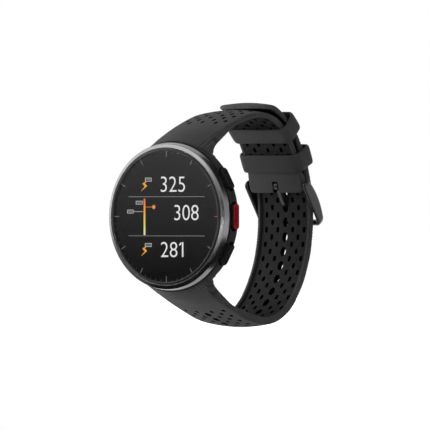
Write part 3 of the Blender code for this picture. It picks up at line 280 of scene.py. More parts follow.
class Nodes:
    """Small helper that adds and links shader nodes in one tree."""

    def __init__(self, tree: Tree) -> None:
        """Keep the tree that nodes are added to."""
        self.tree = tree

    def feed(self, node: Node, inputs: dict) -> None:
        """Link a node's inputs, given by name or number, to sockets, or set their values."""
        for key, value in inputs.items():
            if isinstance(value, Socket):
                self.tree.links.new(value, node.inputs[key])
            else:
                node.inputs[key].default_value = value

    def add(self, kind: str, inputs: Optional[dict] = None, **settings: object) -> Node:
        """Add a node, set its properties and feed its inputs."""
        node = self.tree.nodes.new(kind)
        for key, value in settings.items():
            setattr(node, key, value)
        self.feed(node, inputs or {})
        return node

    def math(self, operation: str, a: object, b: object = 0.0, clamp: bool = False) -> Socket:
        """Add a Math node and return its result."""
        return self.add("ShaderNodeMath", {0: a, 1: b}, operation=operation, use_clamp=clamp).outputs[0]

    def blend(self, mask: object, a: object, b: object) -> Socket:
        """Mix two colours by a mask and return the result."""
        return self.add("ShaderNodeMix", {0: mask, 6: a, 7: b}, data_type="RGBA").outputs[2]

    def remap(self, value: object, low: float, high: float, to_low: float = 0.0,
              to_high: float = 1.0) -> Socket:
        """Map a value from one range to another, held at the ends."""
        ends = {0: value, 1: low, 2: high, 3: to_low, 4: to_high}
        return self.add("ShaderNodeMapRange", ends, clamp=True).outputs[0]

    def noise(self, vector: object, scale: object, detail: float) -> Socket:
        """Add a noise texture and return its value."""
        inputs = {"Vector": vector, "Scale": scale, "Detail": detail}
        return self.add("ShaderNodeTexNoise", inputs).outputs["Fac"]

    def group(self, tree: Tree, inputs: dict) -> bpy.types.bpy_prop_collection:
        """Place a node group, feed its inputs and return its outputs."""
        return self.add("ShaderNodeGroup", inputs, node_tree=tree).outputs

    def place(self) -> Socket:
        """Return the place in the piece's own coordinates."""
        return self.add("ShaderNodeTexCoord").outputs["Object"]

    def split(self, vector: Socket) -> bpy.types.bpy_prop_collection:
        """Return the three parts of a vector."""
        return self.add("ShaderNodeSeparateXYZ", {0: vector}).outputs

    def rays(self, *kinds: str) -> Socket:
        """Return 1 for rays of the given kinds and 0 for others."""
        path = self.add("ShaderNodeLightPath").outputs
        total = 0.0
        for kind in kinds:
            total = self.math("ADD", total, path[f"Is {kind} Ray"], True)
        return total


def new_group(name: str, inputs: dict, outputs: dict) -> tuple[Nodes, bpy.types.bpy_prop_collection, Node]:
    """Start a shader node group.

    Args:
        name: Name of the group.
        inputs: Socket type of each input name.
        outputs: Socket type of each output name.

    Returns:
        The helper for its tree, what its input node gives and its output node.
    """
    tree = bpy.data.node_groups.new(name, "ShaderNodeTree")
    for side, sockets in (("INPUT", inputs), ("OUTPUT", outputs)):
        for key, kind in sockets.items():
            tree.interface.new_socket(key, in_out=side, socket_type=kind)
    nodes = Nodes(tree)
    return nodes, nodes.add("NodeGroupInput").outputs, nodes.add("NodeGroupOutput")


VECTOR = "NodeSocketVector"
FLOAT = "NodeSocketFloat"
COLOUR = "NodeSocketColor"
DUST = (0.35, 0.34, 0.33, 1.0)


def make_moulded_grain() -> Tree:
    """Build the group of a moulded surface: fine grain, slow tone changes and light dust."""
    nodes, start, end = new_group(
        "moulded_grain", {"Place": VECTOR, "Grain": FLOAT, "Colour": COLOUR, "Tone": FLOAT},
        {"Colour": COLOUR, "Height": FLOAT, "Rough": FLOAT})
    slow_scale, dust_scale, dust_share, rough_share = 90.0, 900.0, 0.012, 0.22
    fine = nodes.noise(start["Place"], start["Grain"], 3.0)
    slow = nodes.math("SUBTRACT", nodes.noise(start["Place"], slow_scale, 3.0), 0.5)
    dust = nodes.remap(nodes.noise(start["Place"], dust_scale, 4.0), 0.60, 0.74)
    tone = nodes.math("MULTIPLY", slow, start["Tone"])
    grain = nodes.math("MULTIPLY", nodes.math("SUBTRACT", fine, 0.5), start["Tone"])
    level = nodes.math("ADD", 1.0, nodes.math("ADD", tone, grain))
    shade = nodes.add("ShaderNodeVectorMath", {0: start["Colour"], "Scale": level}, operation="SCALE")
    dusty = nodes.blend(nodes.math("MULTIPLY", dust, dust_share), shade.outputs[0], DUST)
    nodes.feed(end, {"Colour": dusty, "Height": fine, "Rough": nodes.math("MULTIPLY", slow, rough_share)})
    return nodes.tree


def make_turned_lines() -> Tree:
    """Build the group of lathe lines: noise stretched round the dial's axis."""
    nodes, start, end = new_group("turned_lines", {"Place": VECTOR, "Pitch": FLOAT},
                                  {"Lines": FLOAT, "Smudge": FLOAT})
    height_share, angle_scale, smudge_scale = 0.7, 1.2, 160.0
    x, y, z = nodes.split(start["Place"])
    square = nodes.math("ADD", nodes.math("POWER", x, 2.0), nodes.math("POWER", z, 2.0))
    reach = nodes.math("ADD", nodes.math("SQRT", square), nodes.math("MULTIPLY", y, height_share))
    angle = nodes.math("ARCTAN2", z, x)
    join = nodes.add("ShaderNodeCombineXYZ", {0: nodes.math("MULTIPLY", reach, start["Pitch"]),
                                              1: nodes.math("MULTIPLY", angle, angle_scale)})
    nodes.feed(end, {"Lines": nodes.noise(join.outputs[0], 1.0, 4.0),
                     "Smudge": nodes.noise(start["Place"], smudge_scale, 3.0)})
    return nodes.tree


MOULDED_GRAIN = make_moulded_grain()
TURNED_LINES = make_turned_lines()


class Texture(Enum):
    """What a moulded finish carries besides its grain."""

    PLAIN = "plain"
    STRAP_LINES = "strap lines"


def new_material(name: str) -> tuple[Material, Nodes, Node]:
    """Return a new material, the helper for its nodes and its Principled shader."""
    made = bpy.data.materials.new(name)
    made.use_nodes = True
    return made, Nodes(made.node_tree), made.node_tree.nodes["Principled BSDF"]


def add_bump(nodes: Nodes, shader: Node, height: Socket, depth: float) -> None:
    """Feed a height, with its depth in millimetres, to a shader's normal."""
    bump = nodes.add("ShaderNodeBump", {"Strength": 1.0, "Distance": depth * MM, "Height": height})
    nodes.feed(shader, {"Normal": bump.outputs[0]})


@dataclass(frozen=True)
class Moulded:
    """A moulded or coated finish with grain, slow tone changes and a little dust."""

    name: str
    colour: tuple
    roughness: float
    grain: float = 3000.0
    depth: float = 0.02
    tone: float = 0.35
    metallic: float = 0.0
    specular: float = 0.5
    texture: Texture = Texture.PLAIN
    # Share by which the colour darkens in the grooves: painted shade.
    groove_painted_shade: float = 0.55
    line_depth: float = 2.4

    def material(self) -> Material:
        """Return the material of this finish."""
        made, nodes, shader = new_material(self.name)
        group = nodes.group(MOULDED_GRAIN, {"Place": nodes.place(), "Grain": self.grain,
                                            "Colour": (*self.colour, 1.0), "Tone": self.tone})
        colour, height = group["Colour"], group["Height"]
        if self.texture is Texture.STRAP_LINES:
            lines = self.strap_lines(nodes)
            # Painted shade: the colour darkens along the grooves in place of the shade in them; the grooves'
            # depth is a real bump.
            colour = nodes.blend(nodes.math("MULTIPLY", lines, self.groove_painted_shade), colour, BLACK)
            height = nodes.math("SUBTRACT", height, nodes.math("MULTIPLY", lines, self.line_depth))
        rough = nodes.math("ADD", group["Rough"], self.roughness, True)
        nodes.feed(shader, {"Base Color": colour, "Roughness": rough, "Metallic": self.metallic,
                            "Specular IOR Level": self.specular})
        add_bump(nodes, shader, height, self.depth)
        return made

    @staticmethod
    def strap_lines(nodes: Nodes) -> Socket:
        """Return fine grooves along the strap, one each millimetre, that fade out past the case."""
        pitch, fade_start, fade_end = 0.10, 1.1, 1.9
        x, d, _ = nodes.split(nodes.add("ShaderNodeUVMap", uv_map="surface").outputs[0])
        wave = nodes.math("SINE", nodes.math("MULTIPLY", x, 2 * math.pi / pitch))
        near = nodes.remap(d, fade_start, fade_end, 1.0, 0.0)
        return nodes.math("MULTIPLY", nodes.remap(wave, 0.2, 1.0), near)


@dataclass(frozen=True)
class TurnedMetal:
    """Metal with fine lathe lines round the dial's axis."""

    name: str
    colour: tuple
    roughness: float
    pitch: float = 9000.0
    depth: float = 0.004
    dark: float = 0.72
    spread: float = 0.05
    smudge: float = 0.10

    def material(self) -> Material:
        """Return the material of this finish."""
        made, nodes, shader = new_material(self.name)
        group = nodes.group(TURNED_LINES, {"Place": nodes.place(), "Pitch": self.pitch})
        lines = group["Lines"]
        dark = (*(self.dark * c for c in self.colour), 1.0)
        smudge = nodes.remap(group["Smudge"], 0.35, 0.75, 0.0, self.smudge)
        rough = nodes.remap(lines, 0.3, 0.7, self.roughness - self.spread, self.roughness + self.spread)
        nodes.feed(shader, {"Base Color": nodes.blend(lines, dark, (*self.colour, 1.0)), "Metallic": 1.0,
                            "Roughness": nodes.math("ADD", rough, smudge)})
        add_bump(nodes, shader, lines, self.depth)
        return made


@dataclass(frozen=True)
class ClearGlass:
    """Hardened cover glass with faint smears."""

    name: str
    smear: float = 0.02
    index: float = 1.5

    def material(self) -> Material:
        """Return the material of this finish."""
        made, nodes, shader = new_material(self.name)
        rough = nodes.remap(nodes.noise(nodes.place(), 70.0, 3.0), 0.45, 0.8, 0.0, self.smear)
        nodes.feed(shader, {"Roughness": rough, "Base Color": WHITE, "Transmission Weight": 1.0,
                            "IOR": self.index})
        return made


@dataclass(frozen=True)
class LitPrint:
    """A mark of the dial that glows: lit display content, or printed ticks whose glow is painted light."""

    name: str
    colour: tuple

    def material(self) -> Material:
        """Return the material of this mark, with the display's fine cell pattern in its light."""
        made, nodes, shader = new_material(self.name)
        cells = nodes.remap(nodes.noise(nodes.place(), 6000.0, 0.0), 0.3, 0.7, 0.94, 1.0)
        tint = nodes.blend(cells, BLACK, (*self.colour, 1.0))
        nodes.feed(shader, {"Emission Color": tint, "Emission Strength": 1.0, "Base Color": UNLIT})
        return made


@dataclass(frozen=True)
class Ramp:
    """A lit bar whose colour changes from its foot to its top."""

    name: str
    low: float
    high: float
    stops: tuple

    def material(self) -> Material:
        """Return the material of the graded bar."""
        made, nodes, shader = new_material(self.name)
        height = nodes.split(nodes.place())[2]
        ramp = nodes.add("ShaderNodeValToRGB", {0: nodes.remap(height, self.low * MM, self.high * MM)})
        elements = ramp.color_ramp.elements
        while len(elements) < len(self.stops):
            elements.new(0.5)
        for element, (position, colour) in zip(elements, self.stops):
            element.position = position
            element.color = (*colour, 1.0)
        nodes.feed(shader, {"Emission Color": ramp.outputs[0], "Emission Strength": 1.0, "Base Color": UNLIT})
        return made


STRAP_RUBBER = Moulded("strap_rubber", (0.031, 0.031, 0.0316), 0.62, 2600.0, 0.022, 0.30, specular=0.07,
                       texture=Texture.STRAP_LINES)
# Painted shade: the inner panel is coloured darker than the strap, standing in for the shade inside the loop.
STRAP_PANEL_PAINTED_SHADE = Moulded("strap_panel_painted_shade", (0.013, 0.013, 0.0133), 0.70, 2600.0, 0.022, 0.30, specular=0.05)
# Painted shade: the slot and hole walls are coloured near black, standing in for the shade inside them.
SLOT_PAINTED_SHADE = Moulded("slot_painted_shade", (0.002, 0.002, 0.0021), 0.9, 2600.0, 0.010, 0.2, specular=0.0)
KEEPER_RUBBER = Moulded("keeper_rubber", (0.026, 0.026, 0.0265), 0.52, 2600.0, 0.014, 0.22, specular=0.07)
CASE_POLYMER = Moulded("case_polymer", (0.010, 0.010, 0.0103), 0.45, 4200.0, 0.012, 0.3, specular=0.05)
BLACK_METAL = Moulded("black_metal", (0.003, 0.003, 0.0032), 0.22, 5200.0, 0.003, 0.25, specular=0.4)
BUTTON_BLACK = Moulded("button_black", (0.003, 0.003, 0.0032), 0.34, 5200.0, 0.004, 0.25, specular=0.06)
RED_ANODISED = Moulded("red_anodised", (0.17, 0.002, 0.0035), 0.40, 5200.0, 0.005, 0.22, specular=0.05)
BEZEL_METAL = TurnedMetal("bezel_metal", (0.20, 0.20, 0.205), 0.20)
COVER_GLASS = ClearGlass("cover_glass")
GLASS_EDGE = Moulded("glass_edge", (0.006, 0.006, 0.0063), 0.30, 5200.0, 0.002, 0.2, specular=0.3)
PRINT_BLACK = Moulded("print_black", (0.004, 0.004, 0.0042), 0.45, 6000.0, 0.002, 0.2, specular=0.0)
DISPLAY_BLACK = Moulded("display_black", (0.003, 0.003, 0.0032), 0.35, 8000.0, 0.001, 0.2, specular=0.0)
WINDOW_RESIN = Moulded("window_resin", (0.006, 0.005, 0.007), 0.10, 5000.0, 0.001, 0.2)
STEEL = Moulded("steel", (0.52, 0.52, 0.53), 0.30, 5200.0, 0.004, 0.15, metallic=1.0)
GOLD = Moulded("contact_gold", (0.78, 0.53, 0.22), 0.28, 5200.0, 0.003, 0.15, metallic=1.0)
BOARD_GREEN = Moulded("board_green", (0.010, 0.060, 0.028), 0.45, 2400.0, 0.01, 0.5)
CELL_FOIL = Moulded("cell_foil", (0.33, 0.33, 0.34), 0.38, 2200.0, 0.02, 0.2, metallic=1.0)
SEAL_RUBBER = Moulded("seal_rubber", (0.012, 0.012, 0.012), 0.66, 3000.0, 0.012, 0.3)


@dataclass
class Stretch:
    """One stretch of the strap's line: where it starts, its heading and its radius if it bends."""

    start: float
    point: Array
    turn: float
    radius: Optional[float] = None

    @property
    def centre(self) -> Array:
        """Return the centre of an arc that bends towards the wrist."""
        return self.point + self.radius * np.array([math.sin(self.turn), -math.cos(self.turn)])

    def at(self, run: Array) -> tuple[Array, Array]:
        """Return the points at a run along this stretch, and their headings."""
        if self.radius is None:
            along = np.array([math.cos(self.turn), math.sin(self.turn)])
            return self.point + run[..., None] * along, np.full(run.shape, self.turn)
        now = self.turn - run / self.radius
        return self.centre + self.radius * stacked(-np.sin(now), np.cos(now)), now


@dataclass
class StrapPath:
    """Outer edge line of the strap loop in the side view, from the upper to the lower lug.

    A straight lead leaves the lug at a heading, then four arcs turn it over the top and down
    to the rear. The lower half is the mirror image of the upper one.
    """

    heading: float = 28.0
    pin: tuple = (-1.9, 22.0)
    pin_cover: float = 1.3
    front: float = -8.0
    arcs: tuple = ((95.0, 11.0), (36.0, 17.0), (18.4, 55.0))

    def __post_init__(self) -> None:
        """Work out where each stretch starts, its heading and its radius."""
        turn = math.radians(self.heading)
        along = np.array([math.cos(turn), math.sin(turn)])
        point = np.array(self.pin) + np.array([-math.sin(turn), math.cos(turn)]) * self.pin_cover
        distance = self.pin_distance = (point[0] - self.front) / math.cos(turn)
        self.stretches = [Stretch(0.0, point - along * distance, turn)]
        for radius, sweep in self.arcs:
            arc = Stretch(distance, point, turn, radius)
            self.stretches.append(arc)
            run = radius * math.radians(sweep)
            point = arc.at(np.asarray(run))[0]
            distance += run
            turn -= math.radians(sweep)
        self.stretches.append(Stretch(distance, point, turn, point[1] / math.cos(turn)))
        _, self.shoulder, self.top, self.corner, self.rear_arc = self.stretches
        self.half = distance + self.rear_arc.radius * (math.pi / 2 + turn)
        self.full = 2 * self.half

    def at(self, distance: Array) -> tuple[Array, Array]:
        """Return points and outward normals at distances from the upper lug."""
        distance = np.asarray(distance, float)
        lower = distance > self.half
        near = np.where(lower, self.full - distance, distance)
        spot = np.zeros((*near.shape, 2))
        turn = np.zeros(near.shape)
        for number, stretch in enumerate(self.stretches):
            chosen = near >= stretch.start if number else np.ones(near.shape, bool)
            place, now = stretch.at(near - stretch.start)
            spot = np.where(chosen[..., None], place, spot)
            turn = np.where(chosen, now, turn)
        flip = np.where(lower, -1.0, 1.0)
        return stacked(spot[..., 0], spot[..., 1] * flip), stacked(-np.sin(turn), np.cos(turn) * flip)

    def rear(self, height: float) -> float:
        """Return the distance of the rear arc's point at a height over the middle."""
        return self.half - self.rear_arc.radius * math.asin(height / self.rear_arc.radius)


PATH = StrapPath()


@dataclass
class StrapForm:
    """Sizes that both straps share: width, section, flare, perforation and what the ends change."""

    half: float = 10.0
    edge: float = 1.5
    crown: float = 0.95
    crown_drop: float = -1.2
    end_edge: float = 2.9
    end_crown: float = 2.3
    blend: float = 16.0
    flare: float = 3.0
    flare_power: float = 2.3
    corner: float = 1.2
    corner_power: int = 14
    flare_length: float = 11.0
    outer_round: float = 0.55
    inner_round: float = 0.30
    rim: float = 0.9
    recess: float = 0.35
    long_rim: float = 0.7
    end_round: float = 1.4
    case_radius: float = 22.87
    front_limit: float = -8.3
    back_radius: float = 19.9
    case_bend: float = -4.6
    case_back: float = -1.6
    pitch: float = 2.15
    first_row: float = 17.5
    slot: tuple = (1.1, 1.7)
    hole: tuple = (2.0, 2.8)
    columns: tuple = (2.85, 7.2, 5.0)
    step_gap: float = 1.2
    tail_gap: float = 0.3
    tip: float = 7.0
    tip_flat: float = 0.65
    tip_thin: float = 0.78
    arch: float = 0.4
    arch_middle: float = 6.0
    arch_width: float = 3.2
    end_blend: float = 3.0
    end_thick: float = 0.325
    knob: float = 7.45
    knob_slot: tuple = (1.45, 0.65)
    knob_depth: float = 1.3
    tang_slot: tuple = (1.05, 3.7)
    rim_rise: tuple = (18.0, 8.0)
    rim_fall: tuple = (30.0, 12.0)
    over_span: tuple = (-10.0, 13.0)
    panel_lead: float = 3.5
    panel_past: float = 0.3
    drawn_out: float = 5.3
    # Distance from the strap's side past which a wall counts as a slot or hole wall and takes the painted
    # shade.
    slot_shade_reach: float = 1.2

    @property
    def plateau(self) -> float:
        """Return how far the long strap stands out where it lies over the buckle."""
        return self.crown + self.step_gap + self.edge

    def width_at(self, d: Array) -> Array:
        """Return the half width, flared where the strap meets the case."""
        left = np.clip(1 - d / self.flare_length, 0, 1)
        return self.half + self.flare * left ** self.flare_power + self.corner * left ** self.corner_power

    def edge_at(self, d: Array) -> Array:
        """Return the thickness under the edge line."""
        return self.end_edge + (self.edge - self.end_edge) * smooth((d - PATH.pin_distance) / self.blend)

    def crown_at(self, d: Array) -> Array:
        """Return how far the middle stands above the edge line."""
        return self.end_crown + (self.crown - self.end_crown) * smooth(d / self.blend)

    def case_line(self, y: Array) -> Array:
        """Return the radius of the space round the case at a depth y, out of reach before its front."""
        radius = np.interp(y, [self.case_bend, self.case_back], [self.case_radius, self.back_radius])
        return np.where(y < self.front_limit, FAR, radius)

    def over(self, d: Array) -> Array:
        """Return how far the long strap stands out: it climbs over the buckle and sinks to its tail."""
        rise_start = (PATH.shoulder.start + PATH.top.start) / 2
        rise_end = PATH.full - PATH.rear(self.over_span[0])
        fall_start = PATH.full - PATH.rear(self.over_span[1])
        fall_end = PATH.full - (PATH.corner.start + PATH.rear_arc.start) / 2
        rise = smooth((d - rise_start) / (rise_end - rise_start))
        fall = smooth((d - fall_start) / (fall_end - fall_start))
        return self.plateau * rise - (self.step_gap - self.tail_gap) * fall


FORM = StrapForm()


def quarter_fall(radius: float, gap: Array) -> Array:
    """Return how far a quarter round of a radius has fallen at a distance from the edge."""
    return radius - np.sqrt(radius ** 2 - np.maximum(radius - gap, 0) ** 2)


@dataclass
class Strap:
    """One strap: a flat perforated outline carried onto the strap's outer and inner surface."""

    name: str
    length: float
    lower: bool
    last_row: float
    tail_round: float = 0.0
    anchor: float = FORM.first_row

    def edge_distance(self, x: Array, d: Array) -> Array:
        """Return the distance of a flat point to the strap's side or free end."""
        side = FORM.width_at(d) - np.abs(x)
        if self.lower:
            past = np.maximum(d - (self.length - self.tail_round), 0) / self.tail_round
            round_end = (1 - np.hypot(x / FORM.half, past)) * (self.tail_round + 1.0)
            return np.where(past > 0, np.minimum(side, round_end), side)
        over = np.hypot(np.maximum(np.abs(x) - FORM.half + FORM.end_round, 0),
                        np.maximum(d - self.length + FORM.end_round, 0))
        return np.minimum(np.minimum(side, self.length - d), np.where(over > 0, FORM.end_round - over, side))

    def heights(self, x: Array, d: Array) -> tuple[Array, Array]:
        """Return the outer and inner heights over the path at flat points.

        The outer height is the crown's parabola less a quarter round at the edge, and the inner
        height is the edge thickness with a raised rim round a shallow panel. The long strap's
        tail thins to its tip and arches by a bell curve before it.
        """
        crown = FORM.crown_at(d) * np.maximum(1 - (x / FORM.half) ** 2, FORM.crown_drop)
        inner = -FORM.edge_at(d)
        past_tip = d - self.length + FORM.tip
        tip = smooth(past_tip / FORM.tip)
        if self.lower:
            crown = crown * (1 - FORM.tip_flat * tip)
        else:
            ending = smooth(past_tip / FORM.end_blend)
            crown = crown + (FORM.crown - crown) * ending
            inner = inner - FORM.end_thick * ending
        gap = np.maximum(self.edge_distance(x, d), 0)
        outer = crown - quarter_fall(FORM.outer_round, gap)
        inner = inner + quarter_fall(FORM.inner_round, gap) + FORM.recess * self.panel(x, d)
        base = np.zeros_like(d)
        if self.lower:
            start, fade_in = FORM.rim_rise
            end, fade_out = FORM.rim_fall
            shown = smooth((d - start) / fade_in) * (1 - smooth((d - self.length + end) / fade_out))
            inner = inner - FORM.long_rim * (1 - smooth((gap - FORM.rim) / 0.3)) * shown
            inner = inner * (1 - FORM.tip_thin * tip)
            bell = np.exp(-((d - self.length + FORM.arch_middle) / FORM.arch_width) ** 2)
            base = FORM.over(d) - FORM.edge * FORM.tip_thin * tip + FORM.arch * bell
        slot = np.maximum(np.abs(x - self.knob) - FORM.knob_slot[0],
                          np.abs(d - PATH.pin_distance) - FORM.knob_slot[1])
        inner = np.where(slot < -0.02, -FORM.knob_depth, inner)
        return base + outer, base + inner

    def panel(self, x: Array, d: Array) -> Array:
        """Return 1 on the shallow panel inside the inner side's rim, and 0 off it."""
        gap = np.maximum(self.edge_distance(x, d), 0)
        start = smooth((gap - FORM.rim) / 0.35) * smooth(d - FORM.first_row + FORM.panel_lead)
        return start * (1 - smooth((d - self.last_row - FORM.panel_past) / 0.8))

    @property
    def knob(self) -> float:
        """Return where across the strap the quick-release knob slides."""
        return -FORM.knob if self.lower else FORM.knob

    def carry(self, x: Array, d: Array, height: Array) -> Array:
        """Return the points at a height over the path."""
        spot, normal = PATH.at(PATH.full - d if self.lower else d)
        return np.concatenate([x[..., None], spot + normal * height[..., None]], -1)

    def case_start(self, x: Array, side: int) -> Array:
        """Return the distance at which the outer (0) or inner (1) side leaves the case's space."""
        table_x = np.linspace(0, FORM.half + FORM.flare + FORM.corner, 80)
        d = np.linspace(-1.0, 14.0, 700)
        grid_x, grid_d = np.meshgrid(table_x, d, indexing="ij")
        height = self.heights(np.minimum(grid_x, FORM.width_at(grid_d)), grid_d)[side]
        point = self.carry(grid_x, grid_d, height)
        clear = np.hypot(point[..., 0], point[..., 2]) > FORM.case_line(point[..., 1])
        last = len(d) - 1 - np.argmax(~clear[:, ::-1], axis=1)
        return np.interp(np.abs(x), table_x, d[np.minimum(last + 1, len(d) - 1)])

    def slots(self) -> tuple[Array, Array]:
        """Return the middles of the small slots and of the adjusting holes."""
        a, b, c = FORM.columns
        rows = np.arange(math.ceil((FORM.first_row - self.anchor) / FORM.pitch),
                         math.floor((self.last_row - self.anchor) / FORM.pitch) + 1)
        odd, even = (self.anchor + rows[rows % 2 == rest] * FORM.pitch for rest in (1, 0))
        close = np.array([-c, c]) if self.lower else np.array([-c, 0.0, c])
        small = np.concatenate([pairs(np.array([-b, -a, a, b]), odd), pairs(close, even)])
        return small, stacked(0.0, even) if self.lower else np.zeros((0, 2))

    def outline(self) -> Array:
        """Return the strap's flat outline, with the tang's slot in the short strap's end."""
        flare = FORM.flare_length * np.linspace(0, 1, 26) ** 1.7
        straight = np.arange(FORM.flare_length + 1.0, self.length - self.tail_round - 0.4, 1.0)
        d = np.concatenate([flare, straight, [self.length - self.tail_round]])
        right = stacked(FORM.width_at(d), d)
        if self.lower:
            a = degrees(0, 90, 20)[1:]
            end = stacked(FORM.half * np.cos(a), self.length - self.tail_round * (1 - np.sin(a)))
            left = np.concatenate([right, end[:-1]])
        else:
            a = degrees(0, 90, 8)
            bend = stacked(FORM.half - FORM.end_round * (1 - np.cos(a)),
                           self.length - FORM.end_round * (1 - np.sin(a)))
            wide, deep = FORM.tang_slot
            notch = [[6.0, self.length], [wide, self.length], [wide, self.length - deep]]
            right = right[right[:, 1] < self.length - FORM.end_round - 0.1]
            end = np.concatenate([bend, notch])
            left = np.concatenate([right, end])
        wide = FORM.width_at(0.0)
        case_end = stacked(np.linspace(-wide, wide, 61)[1:-1], 0.0)
        return np.concatenate([right, end, left[::-1] * MIRROR, case_end])

    def build(self) -> Object:
        """Triangulate the flat strap, carry it to both surfaces and close its rims."""
        small, holes = self.slots()
        wide, long = FORM.slot
        t = turns(16)
        core = np.where(np.sin(t) >= 0, 1, -1) * (long - wide) / 2
        pill = stacked(wide / 2 * np.cos(t), wide / 2 * np.sin(t) + core)
        oval = superellipse(FORM.hole[0] / 2, FORM.hole[1] / 2, 2.0, 28)
        loops = [self.outline()] + [m + pill for m in small] + [m + oval for m in holes]
        spot = np.array([self.knob, PATH.pin_distance])
        for inset in (0.0, 0.06):
            loops.append(spot + SQUARE * (np.array(FORM.knob_slot) - inset))
        points = np.concatenate(loops)
        starts = np.cumsum([0] + [len(loop) for loop in loops[:-1]])
        edges = np.concatenate([stacked(s + np.arange(len(p)), s + (np.arange(len(p)) + 1) % len(p))
                                for s, p in zip(starts, loops)])
        extra = self.inner_points(small, holes)
        flat, _, faces, _, _, _ = geometry.delaunay_2d_cdt(
            [Vector(p) for p in np.concatenate([points, extra])], edges.tolist(), [], 1, 1e-4)
        flat = np.array([tuple(p) for p in flat])
        faces = np.array([f[:3] for f in faces])
        middle = flat[faces].mean(1)
        cut = np.zeros(len(faces), bool)
        for m in small:
            cut |= pill_distance(middle[:, 1] - m[1], middle[:, 0] - m[0], long, wide) < 0
        for m in holes:
            cut |= np.hypot(*((middle - m) / np.array(FORM.hole)).T) < 0.5
        return self.close(flat, faces[~cut])

    def inner_points(self, small: Array, holes: Array) -> Array:
        """Return extra points: lines beside the edges and a lattice between the slots."""
        insets = np.array([0.03, 0.12, 0.28, 0.55, 0.9, 1.08, 1.25])
        inset, along = pairs(insets, np.arange(0.5, self.length - self.tail_round, 0.9)).T
        beside = stacked(FORM.width_at(along) - inset, along)
        parts = [beside, beside * MIRROR]
        if self.lower:
            a = degrees(4, 176, 40)
            share = 1 - insets[:, None] / (self.tail_round + 1.0)
            parts.append(stacked(share * FORM.half * np.cos(a), self.length - self.tail_round
                                 + share * self.tail_round * np.sin(a)).reshape(-1, 2))
        else:
            x = np.concatenate([np.linspace(-9.2, -1.7, 12), np.linspace(1.7, 9.2, 12)])
            parts.append(pairs(x, self.length - insets[:4]))
        lattice = pairs(np.linspace(-8.4, 8.4, 13), np.arange(0.6, self.length - 1.5, FORM.pitch / 2))
        keep = self.edge_distance(*lattice.T) > FORM.end_round
        for m in small:
            keep &= pill_distance(lattice[:, 1] - m[1], lattice[:, 0] - m[0], *FORM.slot[::-1]) > 0.22
        for m in holes:
            keep &= np.hypot(*((lattice - m) / np.array(FORM.hole)).T) > 0.62
        if not self.lower:
            keep &= (np.abs(lattice[:, 0]) > 1.6) | (lattice[:, 1] < self.length - 4.4)
        wide = pairs(np.linspace(-11.4, 11.4, 20), np.linspace(0.4, 5.2, 7))
        wide = wide[FORM.width_at(wide[:, 1]) - np.abs(wide[:, 0]) > FORM.end_round]
        return np.concatenate([*parts, lattice[keep], wide])

    def close(self, flat: Array, faces: Array) -> Object:
        """Carry the flat faces to both surfaces and join their rims by walls.

        Near the case a point's distance d is drawn out so that the strap starts on the case's
        space: d' = d + s (1 - d / b), with s the start of that surface at the same x and b the
        blend's length.
        """
        used = np.unique(faces)
        number = np.full(len(flat), -1)
        number[used] = np.arange(len(used))
        flat = flat[used]
        faces = number[faces]
        x, d = flat.T
        near = np.maximum(1 - d / FORM.blend, 0)
        rows = []
        for side in (0, 1):
            moved = d + self.case_start(x, side) * near
            rows.append(self.carry(x, moved, self.heights(x, np.where(d > FORM.drawn_out, d, moved))[side]))
        count = len(flat)
        sides = np.sort(np.concatenate([faces[:, [0, 1]], faces[:, [1, 2]], faces[:, [2, 0]]]), axis=1)
        rim, seen = np.unique(sides, axis=0, return_counts=True)
        rim = rim[seen == 1]
        at_case = (d[rim] < 1e-4).all(1)
        front = np.flatnonzero(d < 1e-4)
        kink_z = np.sqrt(np.maximum(FORM.case_radius ** 2 - x[front] ** 2, 0)) * (-1 if self.lower else 1)
        kink = stacked(x[front], FORM.case_bend, kink_z)
        kink_number = np.full(count, -1)
        kink_number[front] = 2 * count + np.arange(len(front))
        free = rim[~at_case]
        walls = np.concatenate([free, free[:, ::-1] + count], axis=1).tolist()
        a, b = rim[at_case].T
        walls += stacked(a, b, kink_number[b], kink_number[a]).tolist()
        walls += stacked(kink_number[a], kink_number[b], b + count, a + count).tolist()
        everything = faces.tolist() + (faces[:, ::-1] + count).tolist() + walls
        marks = np.zeros(len(everything), np.int32)
        first = 2 * len(faces)
        # Walls well in from the strap's sides belong to slots and holes and take the near-black finish,
        # painted shade standing in for the shade inside them.
        deep = self.edge_distance(x[free].mean(1), d[free].mean(1))
        marks[first:first + len(free)] = deep > FORM.slot_shade_reach
        # Inner faces on the recessed panel take the darker finish, painted shade standing in for the shade
        # inside the loop.
        marks[len(faces):first] = np.where(self.panel(*flat[faces].mean(1).T) > 0.5, 2, 0)
        uv = np.concatenate([flat, flat, flat[front]]) / UV_MM
        return make_piece(self.name, np.concatenate([*rows, kink]), everything, 48.0, uv, marks)


@dataclass
class Straps:
    """The two straps, with the long one's tail lying over the short one."""

    end_reach: float = 2.0
    plain_end: float = 5.9
    overlap: float = 41.3
    tail_round: float = 7.0

    def build(self) -> None:
        """Build both straps and dress them."""
        rubber = STRAP_RUBBER.material()
        # Painted shade: the slot walls' near-black finish and the inner panel's darker finish.
        more = (SLOT_PAINTED_SHADE.material(), STRAP_PANEL_PAINTED_SHADE.material())
        bar = PATH.rear(BAR_HEIGHT)
        hole = PATH.full - PATH.rear(HOLE_HEIGHT)
        length = hole + self.overlap
        for strap in (Strap("strap_short", bar + self.end_reach, False, bar - self.plain_end),
                      Strap("strap_long", length, True, length - self.tail_round, self.tail_round, hole)):
            dress(strap.build(), rubber, BODY, "strap", strap.name, more=more)


